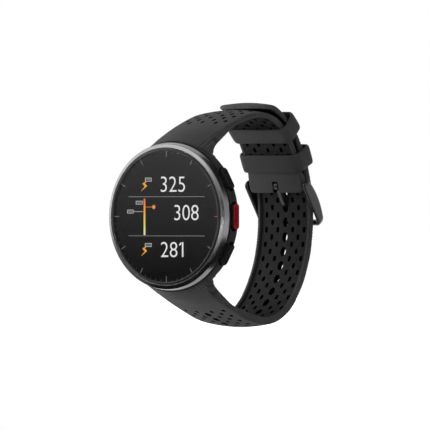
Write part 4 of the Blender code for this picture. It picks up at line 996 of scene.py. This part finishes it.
@dataclass
class Keeper:
    """A loop round both strap layers: a rounded band section carried round a rounded rectangle."""

    name: str
    heading: float
    arc: Stretch
    band: float = 5.8
    wall: float = 1.0
    gap: float = 0.4
    corner: float = 2.0

    def build(self) -> None:
        """Build the loop and dress it."""
        turn = math.radians(self.heading)
        radius = self.arc.radius
        distance = self.arc.start + (self.arc.turn + turn) * radius
        stand = float(FORM.over(np.array(PATH.full - distance)))
        room = self.gap + (self.band / 2) ** 2 / (2 * PATH.corner.radius) + self.wall / 2
        low = radius - FORM.edge - room
        high = radius + stand + FORM.crown + room
        arm = FORM.half + self.gap + self.wall / 2 - self.corner
        rise = (high - low) / 2 - self.corner
        rounds = []
        for quarter, (u, v) in enumerate(((arm, rise), (-arm, rise), (-arm, -rise), (arm, -rise))):
            rounds.append(stacked(u, v, degrees(90 * quarter, 90 * quarter + 90, 17)))
        stations = []
        for this, after in zip(rounds, rounds[1:] + rounds[:1]):
            straight = np.linspace(this[-1], after[0], 13)[1:-1]
            straight[:, 2] = this[-1, 2]
            stations += [this, straight]
        stations = np.concatenate(stations)
        side = stacked(np.cos(stations[:, 2]), np.sin(stations[:, 2]))
        loop = stations[:, :2] + np.array([0.0, (low + high) / 2]) + self.corner * side
        normal = np.array([0.0, math.sin(turn), math.cos(turn)])
        along = np.array([0.0, math.cos(turn), -math.sin(turn)])
        line = np.array([0.0, *self.arc.centre]) + loop[:, :1] * ACROSS + loop[:, 1:] * normal
        outward = side[:, :1] * ACROSS + side[:, 1:] * normal
        section = superellipse(self.wall / 2, self.band / 2, 3.8, 28)
        piece = make_piece(self.name, *swept(line, outward, along, section, True), 60.0)
        dress(piece, KEEPER_RUBBER.material(), self.name, "strap", self.name)


@dataclass
class Buckle:
    """Bar, frame and tang of the buckle, worked out from the straps' path."""

    bar_radius: float = 0.65
    arm_middle: float = 11.1
    arm_half: float = 0.7
    eye: float = 1.7
    cross: float = 0.85
    cross_height: float = -1.6
    bow: float = 1.2
    bend: float = 1.3
    tang_width: float = 1.5
    tang_thickness: float = 1.0
    tang_slope: float = 30.0
    tang_eye: float = 1.1
    tang_wall: float = 0.29
    tang_end: float = 1.2

    def __post_init__(self) -> None:
        """Place the bar and the cross bar in the side view."""
        spot, normal = PATH.at(PATH.rear(BAR_HEIGHT))
        self.bar = spot + normal * (FORM.crown - FORM.edge - self.bar_radius / 2) / 2
        spot, normal = PATH.at(PATH.rear(self.cross_height))
        self.over = spot + normal * (FORM.plateau + FORM.crown + FORM.tail_gap + self.cross)

    def build(self) -> None:
        """Build and dress the three pieces."""
        metal = BLACK_METAL.material()
        dress(self.frame(), metal, "buckle_frame", "black_metal", "buckle_frame")
        dress(self.tang(), metal, "buckle_tang", "black_metal", "buckle_tang")
        t = np.linspace(-1, 1, 9)
        line = stacked(t * (self.arm_middle + self.arm_half), *self.bar)
        shrink = np.where(np.abs(t) > 0.99, 0.8, 1.0)[:, None, None]
        loop = superellipse(self.bar_radius, self.bar_radius, 2.0, 32) * shrink
        bar = make_piece("buckle_bar", *swept(line, -FRONT, np.array([0.0, 0.0, 1.0]), loop), 50.0)
        dress(bar, metal, BODY, "black_metal", "buckle_bar")

    def frame(self) -> Object:
        """Build the frame: a rounded section carried up one arm, over the cross bar and down.

        Along the arms the section's height goes from the eye's to the cross bar's, bowed out by
        4 t (1 - t), and round ends close it.
        """
        away = self.over - self.bar
        reach = float(np.hypot(*away))
        down = away / reach
        lift = np.array([-down[1], down[0]])
        bend = self.bend
        cap = degrees(0, 90, 8)[:-1]
        turn = degrees(0, 90, 10)[1:]
        u_arm = np.linspace(0, reach - bend, 24)
        cross_x = np.linspace(self.arm_middle - bend, 0, 10)[1:]
        u = np.concatenate([-self.eye * np.cos(cap), u_arm, reach - bend + bend * np.sin(turn),
                            np.full(len(cross_x), reach)])
        x = np.concatenate([np.full(len(cap) + len(u_arm), self.arm_middle),
                            self.arm_middle - bend + bend * np.cos(turn), cross_x])
        t = np.clip(u / reach, 0, 1)
        bulge = self.bow * 4 * t * (1 - t)
        tall = self.eye + (self.cross + 0.3 - self.eye) * t + bulge / 2
        tall[:len(cap)] = self.eye * np.sin(cap) + 0.02
        wide = self.arm_half + (self.cross - self.arm_half) * smooth((self.arm_middle - x) / bend)
        tall = tall + (self.cross - tall) * smooth((self.arm_middle - x) / (2 * bend))
        wide = np.where(u < 0, wide * np.sqrt(np.clip(1 - (u / self.eye) ** 4, 0.01, 1)), wide)
        rise = bulge / 2 * (x > self.arm_middle - 0.5)
        x = np.concatenate([x, -x[-2::-1]])
        u, tall, wide, rise = (np.concatenate([v, v[-2::-1]]) for v in (u, tall, wide, rise))
        line = np.concatenate([x[:, None], self.bar + u[:, None] * down + rise[:, None] * lift], 1)
        along = unit(np.gradient(stacked(x, u), axis=0))
        side = along[:, 1:] * ACROSS - along[:, :1] * np.array([0.0, *down])
        section = superellipse(1.0, 1.0, 2.8, 32) * stacked(wide, tall)[:, None, :]
        return make_piece("buckle_frame", *swept(line, side, np.array([0.0, *lift]), section), 60.0)

    def tang(self) -> Object:
        """Build the tang: an eye round the bar and a bent strip through the hole to the cross bar."""
        slope = math.radians(self.tang_slope)
        through = np.array([math.cos(slope), -math.sin(slope)])
        spot, normal = PATH.at(PATH.rear(HOLE_HEIGHT))
        middle = spot + normal * (FORM.plateau + (FORM.crown - FORM.edge) / 2)
        reach = (FORM.edge + FORM.crown) / 2 / math.cos(slope) + self.tang_thickness / 2
        enter = middle - through * reach
        leave = middle + through * reach
        over = self.over + np.array([self.cross + self.tang_thickness / 2 + 0.3, 0.0])
        tip = over - np.array([0.0, self.tang_end])
        root = self.bar + unit(enter - self.bar) * self.tang_eye
        shoulder = np.array([max(over[0], leave[0]), (over[1] + leave[1]) / 2 + self.tang_thickness / 2])
        waist = self.bar + (enter - self.bar) * 0.6
        line = np.array([root, waist, enter, middle, leave, shoulder, over, tip])
        for _ in range(3):
            before, after = line[:-1], line[1:]
            cut = np.stack([before * 0.75 + after * 0.25, before * 0.25 + after * 0.75], 1).reshape(-1, 2)
            line = np.concatenate([line[:1], cut, line[-1:]])
        along = unit(np.gradient(line, axis=0))
        loop = superellipse(self.tang_width / 2, self.tang_thickness / 2, 4.0, 24)
        taper = 1 - 0.35 * smooth((np.linspace(0, 1, len(line)) - 0.86) / 0.14)
        points, faces = swept(stacked(0.0, *line.T), ACROSS, stacked(0.0, -along[:, 1], along[:, 0]),
                              loop * taper[:, None, None])
        out = stacked(0.0, np.cos(turns(48)), np.sin(turns(48)))
        ring = np.array([0.0, *self.bar]) + self.tang_eye * out
        section = superellipse(self.tang_width / 2, self.tang_wall, 4.0, 20)
        eye_points, eye_faces = swept(ring, ACROSS, out, section, True)
        faces = faces + [[i + len(points) for i in f] for f in eye_faces]
        return make_piece("buckle_tang", np.concatenate([points, eye_points]), faces, 60.0)


@dataclass
class Case:
    """Turned case pieces: the middle with its button seats, the bezel, the glass and the window."""

    bore: float = 20.0
    band_low: float = 4.9
    band_top: float = 8.1
    bezel_low: float = 8.3
    bezel_top: float = 11.2
    front: float = 11.5
    glass_back: float = 10.3
    glass_radius: float = 20.5
    glass_clear: float = 19.85
    seat_radius: float = 21.6
    seat_room: tuple = (0.65, 0.5)
    seat_floor: float = 21.25
    seat_wall: float = 0.1
    well_floor: float = 20.25
    well_radius: float = 1.35
    lug_half: float = 6.0

    def build(self, seats: Sequence["Button"]) -> None:
        """Build and dress the case pieces."""
        dress(self.middle(seats), CASE_POLYMER.material(), BODY, "case", "mid_case")
        for name, flip in (("lug_upper", 1.0), ("lug_lower", -1.0)):
            dress(self.lug(name, flip), CASE_POLYMER.material(), BODY, "case")
        ring = fillet([(20.8, 10.0), (20.8, self.bezel_top, 0.10), (22.02, self.bezel_top - 0.44, 0.40),
                       (22.5, self.bezel_low + 0.10, 0.45), (21.6, self.bezel_low), (20.0, self.bezel_low),
                       (20.0, 8.7), (19.4, 8.7), (19.4, 9.7), (20.8, 9.7)], 9)
        bezel = make_piece("bezel_ring", *turned(ring, 360), 32.0)
        dress(bezel, BEZEL_METAL.material(), BODY, "bezel", "bezel_ring")
        rim, back, face = self.glass_radius, self.glass_back, self.front
        section = fillet([(0.0, face), (19.4, face), (19.8, face), (rim - 0.28, face, 0.12),
                          (rim, face - 0.30, 0.1), (rim, back, 0.05), (19.8, back), (19.4, back),
                          (0.0, back)], 4)
        edge = np.repeat((section[:-1, 0] + section[1:, 0]) / 2 > self.glass_clear, 256)
        glass = make_piece("cover_glass", *turned(section, 256, False), 25.0, marks=edge)
        dress(glass, COVER_GLASS.material(), BODY, "glass", "cover_glass", more=(GLASS_EDGE.material(),))
        section = np.array([(20.53, 9.76), (20.78, 9.76), (20.78, 10.98), (20.53, 10.98)])
        dress(make_piece("glass_bead", *turned(section, 192)), SEAL_RUBBER.material(), BODY, "seal")
        section = fillet([(0.0, 3.15), (11.15, 3.15), (11.15, 2.7), (10.05, 2.7), (10.05, 0.5, 0.2),
                          (9.5, 0.0, 0.3), (0.0, 0.0)], 6)
        window = make_piece("sensor_window", *turned(section, 160, False), 30.0)
        dress(window, WINDOW_RESIN.material(), BODY, "window", "sensor_window")

    def middle(self, seats: Sequence["Button"]) -> Object:
        """Build the case middle, with a pill-shaped seat pressed in for each button.

        On the band the radius drops from the case's to the flat seat floor, floor / cos(a - a0),
        over a narrow wall where the signed distance to the pill turns negative.
        """
        steps = 720
        wall = np.linspace(self.band_top - 0.3, self.band_low, 46)
        top = [(self.bore, self.band_top), (22.5, self.band_top)]
        outer = stacked(CASE_RADIUS, wall)
        taper = np.linspace((CASE_RADIUS, self.band_low), (19.6, 1.9), 8)[1:]
        inside = [(18.2, 1.9), (18.2, 3.3), (14.6, 3.3), (14.6, 4.1), (self.bore, 4.1)]
        section = np.concatenate([top, outer, taper, inside])
        points, faces = turned(section, steps)
        band = points.reshape(len(section), steps, 3)[len(top):len(top) + len(wall)]
        angle = turns(steps)
        radius = np.full((len(wall), steps), CASE_RADIUS)
        up = wall[:, None] - BUTTON_HEIGHT
        for seat in seats:
            turn = angle - math.radians(seat.angle)
            facing = np.cos(turn) > 0.5
            across = self.seat_radius * np.sin(turn)[None]
            away = pill_distance(across, up, seat.length + self.seat_room[0], seat.width + self.seat_room[1])
            floor = np.where(np.hypot(across, up) < self.well_radius, self.well_floor, self.seat_floor)
            floor = floor / np.where(facing, np.cos(turn), 1.0)[None]
            share = np.clip(-away / self.seat_wall, 0, 1) * facing[None]
            radius = radius + (np.minimum(floor, radius) - radius) * share
        band[..., 0] = radius * np.cos(angle)
        band[..., 2] = radius * np.sin(angle)
        return make_piece("mid_case", points, faces, 30.0)

    def lug(self, name: str, flip: float) -> Object:
        """Build one middle lug: its side view carried across, with softened ends."""
        arc = degrees(-125, 60, 16)
        pin_depth, pin_height = PATH.pin
        outline = stacked(pin_height + PATH.pin_cover * np.cos(arc), PATH.pin_cover * np.sin(arc) - pin_depth)
        outline = np.concatenate([outline, [[20.84, 5.22], [18.69, 2.65]]])
        middle = outline.mean(0)
        x = np.array([-1.0, -5.9 / 6, -5 / 6, 0.0, 5 / 6, 5.9 / 6, 1.0]) * self.lug_half
        scale = np.where(np.abs(x) < self.lug_half, 1.0, 0.93)[:, None, None]
        loops = middle + (outline - middle) * scale
        points, faces = swept(x[:, None] * ACROSS, np.array([0.0, 0.0, flip]), FRONT, loops)
        return make_piece(name, points, faces, 40.0)


@dataclass
class Button:
    """A pill-shaped push button on the case band."""

    name: str
    angle: float
    length: float
    ridged: bool = False
    width: float = 2.5
    proud: float = 0.8
    sink: float = 0.7
    edge: float = 0.32
    dome: float = 0.10
    ridge_pitch: float = 0.62
    ridge_depth: float = 0.32
    dish: float = 0.12
    stem: float = 0.8
    stem_foot: float = 20.9

    def build(self) -> None:
        """Build the button and dress it.

        A loop point at share q of the way from the pill's core line to its outline is
        core + q (outline - core). Its height falls by a quarter round near q = 1, and the red
        button's top carries cosine ridges along its length.
        """
        round_half = self.width / 2
        half = self.length / 2 - round_half
        a = degrees(-90, 90, 21)
        right = stacked(half + round_half * np.cos(a), round_half * np.sin(a))
        top = stacked(np.linspace(-half, half, 61)[-2:0:-1], round_half)
        outline = np.concatenate([right, top, -right, -top])
        core = stacked(np.clip(outline[:, 0], -half, half), 0.0)
        face = CASE_RADIUS + self.proud
        foot = CASE_RADIUS - self.sink
        bend = degrees(0, 90, 7)
        flat_share = 1 - self.edge / round_half
        q = np.concatenate([[1.0, 1.0], 1 - self.edge / round_half * (1 - np.cos(bend)),
                            np.linspace(flat_share, 0, 12)[1:]])
        h = np.concatenate([[foot, CASE_RADIUS], face - self.edge * (1 - np.sin(bend)), np.full(11, face)])
        flat = core + q[:, None, None] * (outline - core)
        inward = (1 - q)[:, None]
        dome = self.dome * (1 - (flat[..., 1] / round_half) ** 2)
        height = h[:, None] + dome * (q < 0.99)[:, None] * smooth(inward / 0.3)
        if self.ridged:
            groove = 0.5 + 0.5 * np.cos(flat[..., 0] * 2 * np.pi / self.ridge_pitch)
            inside = smooth((half + 0.5 - np.abs(flat[..., 0])) / 0.4) * smooth(inward / 0.22)
            height = height - self.ridge_depth * groove ** 2 * inside
        else:
            height = height - self.dish * smooth((inward - 0.36) / 0.2)
        stem = self.stem * unit(outline)
        flat = np.concatenate([[stem * 0.0, stem, stem], flat])
        low = np.broadcast_to([[self.stem_foot], [self.stem_foot], [foot]], (3, len(outline)))
        height = np.concatenate([low, height])
        turn = math.radians(self.angle)
        out = np.array([math.cos(turn), 0.0, math.sin(turn)])
        side = np.array([-math.sin(turn), 0.0, math.cos(turn)])
        points = FRONT * BUTTON_HEIGHT + flat[..., :1] * side + flat[..., 1:] * FRONT
        points = points + height[..., None] * out
        faces = grid_faces(len(flat), len(outline))
        marks = (np.arange(len(faces)) // len(outline) < 6) & self.ridged
        piece = make_piece(self.name, points.reshape(-1, 3), faces, 40.0, None, marks)
        finishes = (RED_ANODISED, BUTTON_BLACK) if self.ridged else (BUTTON_BLACK,)
        first, *more = (finish.material() for finish in finishes)
        dress(piece, first, self.name, "red_button" if self.ridged else "black_metal", self.name, more=more)


BUTTONS = (
    Button("button_ok", 0.0, 7.9, True),
    Button("button_up", 30.0, 7.2),
    Button("button_down", -30.0, 7.2),
    Button("button_light", 150.0, 7.2),
    Button("button_back", 210.0, 7.2),
)


@dataclass
class Dial:
    """What shows under the glass: the panel, the printed ring, ticks, numbers and signs."""

    panel_radius: float = 17.4
    panel_low: float = 9.15
    panel_top: float = 10.15
    print_inner: float = 17.3
    print_outer: float = 20.4
    print_low: float = 10.18
    print_top: float = 10.27
    tick_end: float = 19.9
    plate_thickness: float = 0.02
    tick_lift: float = 0.022
    mark_lift: float = 0.03
    flag_lift: float = 0.04
    tag_line: tuple = (0.22, 0.2)
    tag_inset: tuple = (0.42, 0.4)
    tags: tuple = ((-8.2, -5.7, 10.62, 11.75), (-8.2, -5.7, -9.2, -8.07), (-11.7, -9.1, 3.65, 4.75),
                   (-15.0, -12.6, 0.95, 2.05))
    readings: tuple = (("325", -2.2, 7.0, 7.45, 12.1), ("308", 2.95, 12.15, -1.12, 3.5),
                       ("281", -2.15, 6.4, -12.3, -7.7))

    def build(self) -> None:
        """Build and dress the dial."""
        panel = np.array([(0.0, self.panel_top), (self.panel_radius, self.panel_top),
                          (self.panel_radius, self.panel_low), (0.0, self.panel_low)])
        piece = make_piece("display_panel", *turned(panel, 192, False))
        dress(piece, DISPLAY_BLACK.material(), BODY, "display", "display_panel")
        ring = self.box(self.print_inner, self.print_outer, self.print_low, self.print_top)
        dress(make_piece("glass_print", *turned(ring, 192)), PRINT_BLACK.material(), BODY, "display")
        self.ticks()
        self.plates()
        self.numbers()

    def plate(self, name: str, shapes: Sequence[Array], finish: object, height: float) -> None:
        """Build flat marks as thin closed plates and dress them.

        Args:
            name: Name of the piece.
            shapes: Outline of each mark as (across, up) points.
            finish: Finish of the marks.
            height: Height of the plates' face over the window.
        """
        points, faces = [], []
        for shape in shapes:
            n = len(shape)
            start = sum(len(p) for p in points)
            for level in (height, height - self.plate_thickness):
                points.append(stacked(shape[:, 0], -level, shape[:, 1]))
            faces.append(list(range(start, start + n)))
            faces.append(list(range(start + n, start + 2 * n))[::-1])
            faces += (grid_faces(2, n) + start).tolist()
        dress(make_piece(name, np.concatenate(points), faces), finish.material(), BODY, "display")

    @staticmethod
    def box(x0: float, x1: float, z0: float, z1: float) -> Array:
        """Return a rectangle's corners."""
        return np.array([(x0, z0), (x1, z0), (x1, z1), (x0, z1)])

    def ticks(self) -> None:
        """Build the minute ticks: long ones at the hours, a red one at 3 o'clock."""
        hours, minutes, red = [], [], []
        for number in range(60):
            turn = math.radians(6 * number)
            out = np.array([math.cos(turn), math.sin(turn)])
            side = np.array([-out[1], out[0]])
            wide, inner = (0.12, 18.1) if number % 5 == 0 else (0.06, 19.2)
            shape = self.box(inner, self.tick_end, -wide, wide) @ np.array([out, side])
            (red if number == 0 else minutes if number % 5 else hours).append(shape)
        face = self.print_top + self.tick_lift
        # The ticks are printed on the ring under the glass; their glow is painted light, standing in for the
        # light that would reach the print through the glass.
        self.plate("ticks_hour", hours, LitPrint("tick_grey_painted_glow", (0.13, 0.13, 0.133)), face)
        self.plate("ticks_minute", minutes, LitPrint("tick_dim_painted_glow", (0.045, 0.045, 0.046)), face)
        self.plate("tick_red_painted_glow", red, LitPrint("tick_red_painted_glow", (0.30, 0.008, 0.008)), face)

    def plates(self) -> None:
        """Build the rules, the graded bar, the marker and the small signs."""
        face = self.panel_top + self.mark_lift
        box = self.box
        self.plate("dial_rules", [box(-14.5, 14.4, 5.91, 6.10), box(-14.5, 14.4, -5.96, -5.77)],
                   LitPrint("rule_grey", (0.17, 0.17, 0.173)), face)
        low, high = -5.6, 5.4
        colours = ((0.0, (0.80, 0.75, 0.38)), (0.3, (0.62, 0.66, 0.10)), (0.62, (0.85, 0.38, 0.02)),
                   (1.0, (0.80, 0.10, 0.02)))
        graded = Ramp("effort_colours", low, high, colours)
        self.plate("effort_bar", [box(-8.73, -8.07, low, high)], graded, face)
        dot = np.array([-4.85, 2.88]) + superellipse(0.62, 0.62, 2.0, 32)
        self.plate("effort_marks", [box(-8.0, -5.2, 2.80, 2.96), dot],
                   LitPrint("mark_orange", (0.80, 0.24, 0.02)), face + 0.01)
        bolt = np.array([(1.13, 1.62), (0.34, 0.72), (1.17, -0.03), (-1.28, -1.65), (0.23, -0.15),
                         (-0.68, 0.75)])
        bolts = [bolt + np.array([-8.55, z]) for z in (9.25, -10.45)]
        self.plate("power_signs", bolts, LitPrint("sign_amber", (0.80, 0.36, 0.015)), face)
        a, b = self.tag_line
        c, d = self.tag_inset
        edges = [box(-12.6, -8.9, 1.42, 1.56)]
        fills = []
        for x0, x1, z0, z1 in self.tags:
            edges += [box(x0, x1, z0, z0 + b), box(x0, x1, z1 - b, z1), box(x0, x0 + a, z0 + b, z1 - b),
                      box(x1 - a, x1, z0 + b, z1 - b)]
            fills.append(box(x0 + c, x1 - c, z0 + d, z1 - d))
        self.plate("dial_tags", edges, LitPrint("tag_grey", (0.48, 0.48, 0.485)), face)
        self.plate("tag_fills", fills, LitPrint("tag_dim", (0.16, 0.16, 0.163)), face)

    def numbers(self) -> None:
        """Build the three lit readings from plain numerals, fitted to their boxes on the dial."""
        finish = LitPrint("numeral_white", (0.80, 0.80, 0.80))
        white = finish.material()
        for text, x0, x1, z0, z1 in self.readings:
            curve = bpy.data.curves.new("numerals", "FONT")
            curve.body = text
            curve.extrude = 0.004
            curve.offset = -0.010
            holder = bpy.data.objects.new("numerals", curve)
            bpy.context.scene.collection.objects.link(holder)
            graph = bpy.context.evaluated_depsgraph_get()
            mesh = bpy.data.meshes.new_from_object(holder.evaluated_get(graph))
            bpy.data.objects.remove(holder, do_unlink=True)
            flat = np.array([v.co for v in mesh.vertices])
            x, z, depth = ((flat - flat.min(0)) / np.ptp(flat, axis=0)).T
            points = stacked(x0 + x * (x1 - x0), -(self.panel_top + 0.02 + 0.02 * depth), z0 + z * (z1 - z0))
            piece = make_piece(f"reading_{text}", points, [list(p.vertices) for p in mesh.polygons])
            dress(piece, white, BODY, "display")
        flag = np.array([(5.62, -7.71), (4.88, -8.28), (4.88, -8.84), (5.62, -8.42)])
        self.plate("numeral_flag", [flag], finish, self.panel_top + self.flag_lift)


CAD_FINISHES = {
    "glass_gasket": SEAL_RUBBER, "back_cover_seal": SEAL_RUBBER, "back_cover": CASE_POLYMER,
    "inner_chassis": CASE_POLYMER, "main_board": BOARD_GREEN, "sensor_board": BOARD_GREEN,
    "battery_cell": CELL_FOIL, "vibration_motor": STEEL, "gnss_antenna": GOLD, "charge_pin": GOLD,
    "case_screw": STEEL, "spring_bar": STEEL, "button": STEEL,
}


def dress_cad(nodes: dict) -> None:
    """Give each CAD node that stays showing the finish its name asks for."""
    made = {}
    for name, node in sorted(nodes.items()):
        if node.hide_render:
            continue
        if name.endswith("_seal") and name.startswith("button"):
            finish = SEAL_RUBBER
        else:
            finish = next((f for start, f in CAD_FINISHES.items() if name.startswith(start)), CASE_POLYMER)
        if finish.name not in made:
            made[finish.name] = finish.material()
        node.data.materials.clear()
        node.data.materials.append(made[finish.name])
        LOG.info("%s: CAD node in %s", name, finish.name)


@dataclass
class Lamp:
    """A soft rectangular lamp that faces the watch and shows in no reflection."""

    name: str
    place: tuple
    power: float
    size: tuple
    aim: tuple = (0.0, 15.0, 0.0)

    def build(self) -> None:
        """Add the lamp."""
        data = bpy.data.lights.new(self.name, "AREA")
        data.shape = "RECTANGLE"
        data.size = self.size[0] * MM
        data.size_y = self.size[1] * MM
        data.energy = self.power
        lamp = bpy.data.objects.new(self.name, data)
        lamp.location = np.array(self.place) * MM
        toward = Vector((np.array(self.aim) - np.array(self.place)) * MM)
        lamp.rotation_euler = toward.to_track_quat("-Z", "Y").to_euler()
        lamp.visible_glossy = False
        lamp.visible_transmission = False
        bpy.context.scene.collection.objects.link(lamp)


@dataclass
class Card:
    """A card that only reflections see, graded between two levels over its middle."""

    name: str
    place: tuple
    size: tuple
    levels: tuple
    grading: float = 1.0
    lying: bool = False

    def build(self) -> None:
        """Add the card: it faces the watch's middle, or lies on the floor."""
        middle = np.array(self.place, float)
        facing = unit(np.array([0.0, 0.01, -middle[2]]) if self.lying else -middle)
        side = unit(np.cross(facing, [0.0, 0.0, 1.0]))
        up = np.cross(side, facing)
        wide, tall = SQUARE.T[:, :, None] * np.array(self.size)[:, None, None] / 2
        card = make_piece(self.name, middle + wide * side + tall * up, [[0, 1, 2, 3]])
        made, nodes, shader = new_material(self.name)
        height = nodes.split(nodes.place())[2]
        level = nodes.remap(height, -self.grading * MM, self.grading * MM, *self.levels)
        light = nodes.add("ShaderNodeEmission", {"Strength": level})
        clear = nodes.add("ShaderNodeBsdfTransparent")
        mix = nodes.add("ShaderNodeMixShader", {0: nodes.rays("Glossy", "Transmission"), 1: clear.outputs[0],
                                                2: light.outputs[0]})
        nodes.feed(made.node_tree.nodes["Material Output"], {"Surface": mix.outputs[0]})
        made.node_tree.nodes.remove(shader)
        card.data.materials.append(made)
        card.visible_shadow = False


LAMPS = (
    Lamp("key", (-420, -560, 160), 2.6, (420, 420)),
    Lamp("low", (-80, -330, -20), 3.0, (420, 26)),
    Lamp("fill", (520, -520, 260), 1.3, (500, 500)),
    Lamp("rim", (200, 600, 420), 2.0, (400, 400)),
)
CARDS = (
    Card("glass_flag", (-300, -400, 0), (560, 200), (0.07, 0.42), 22.0),
    Card("front_flag", (250, -433, 0), (760, 240), (0.06, 0.06)),
    Card("side_flag", (133, 183, 211), (270, 250), (0.03, 0.03)),
    Card("low_flag", (46, 14, -34.0), (52, 48), (0.03, 0.03), lying=True),
    Card("floor_flag", (14, -56, -34.0), (97, 108), (0.03, 0.03), lying=True),
    Card("floor_shade", (-111, -56, -34.0), (150, 108), (0.3, 0.3), lying=True),
    Card("silver_left", (-470, -100, 130), (400, 480), (3.0, 3.0)),
    Card("silver_top", (-210, -331, 300), (460, 250), (3.0, 3.0)),
)


@dataclass
class Stage:
    """Camera, white floor and backdrop, soft lights and cards."""

    target: tuple = (6.586, 4.963, 0.456)
    azimuth: float = 37.0
    lens: float = 700.0
    sensor: float = 36.0
    width: float = 130.58
    world_light: float = 0.42
    floor_half: float = 900.0
    floor_gap: float = 0.3
    floor_colour: tuple = (0.8, 0.8, 0.8, 1.0)
    floor_glow: float = 0.80

    def build(self) -> None:
        """Set up everything round the watch."""
        scene = bpy.context.scene
        scene.view_settings.view_transform = "Standard"
        self.camera(scene)
        self.world(scene)
        self.floor()
        for thing in (*LAMPS, *CARDS):
            thing.build()

    def camera(self, scene: bpy.types.Scene) -> None:
        """Add the camera at the photograph's angle, level with the watch."""
        data = bpy.data.cameras.new("camera")
        data.lens = self.lens
        data.sensor_width = self.sensor
        camera = bpy.data.objects.new("camera", data)
        turn = math.radians(self.azimuth)
        away = self.lens * self.width / self.sensor
        place = np.array(self.target) + away * np.array([math.sin(turn), -math.cos(turn), 0.0])
        camera.location = place * MM
        camera.rotation_euler = (math.pi / 2, 0.0, turn)
        scene.collection.objects.link(camera)
        scene.camera = camera

    @staticmethod
    def seen(nodes: Nodes) -> Socket:
        """Return 1 for camera, glossy and transmission rays."""
        return nodes.rays("Camera", "Glossy", "Transmission")

    def world(self, scene: bpy.types.Scene) -> None:
        """Make a white backdrop that lights the watch softly."""
        world = bpy.data.worlds.new("studio")
        world.use_nodes = True
        nodes = Nodes(world.node_tree)
        strength = nodes.remap(self.seen(nodes), 0.0, 1.0, self.world_light, 1.0)
        nodes.feed(world.node_tree.nodes["Background"], {"Color": WHITE, "Strength": strength})
        scene.world = world

    def floor(self) -> None:
        """Add the pale floor under the lowest point of the strap."""
        low = CAD_BOX[0][2] / MM - self.floor_gap
        corners = stacked(*(SQUARE * self.floor_half).T, low)
        floor = make_piece("floor", corners, [[0, 1, 2, 3]])
        made, nodes, shader = new_material("floor_white")
        glow = nodes.remap(self.seen(nodes), 0.0, 1.0, 0.0, self.floor_glow)
        nodes.feed(shader, {"Base Color": self.floor_colour, "Roughness": 0.9, "Emission Color": WHITE,
                            "Emission Strength": glow})
        floor.data.materials.append(made)


def main() -> None:
    """Build every piece, dress what is left of the CAD and set the stage."""
    Stage().build()
    Case().build(BUTTONS)
    for button in BUTTONS:
        button.build()
    Dial().build()
    Straps().build()
    Keeper("keeper_upper", 44.5, PATH.corner).build()
    Keeper("keeper_lower", 65.5, PATH.rear_arc).build()
    Buckle().build()
    dress_cad(frame["nodes"])


if __name__ == "__main__":
    main()
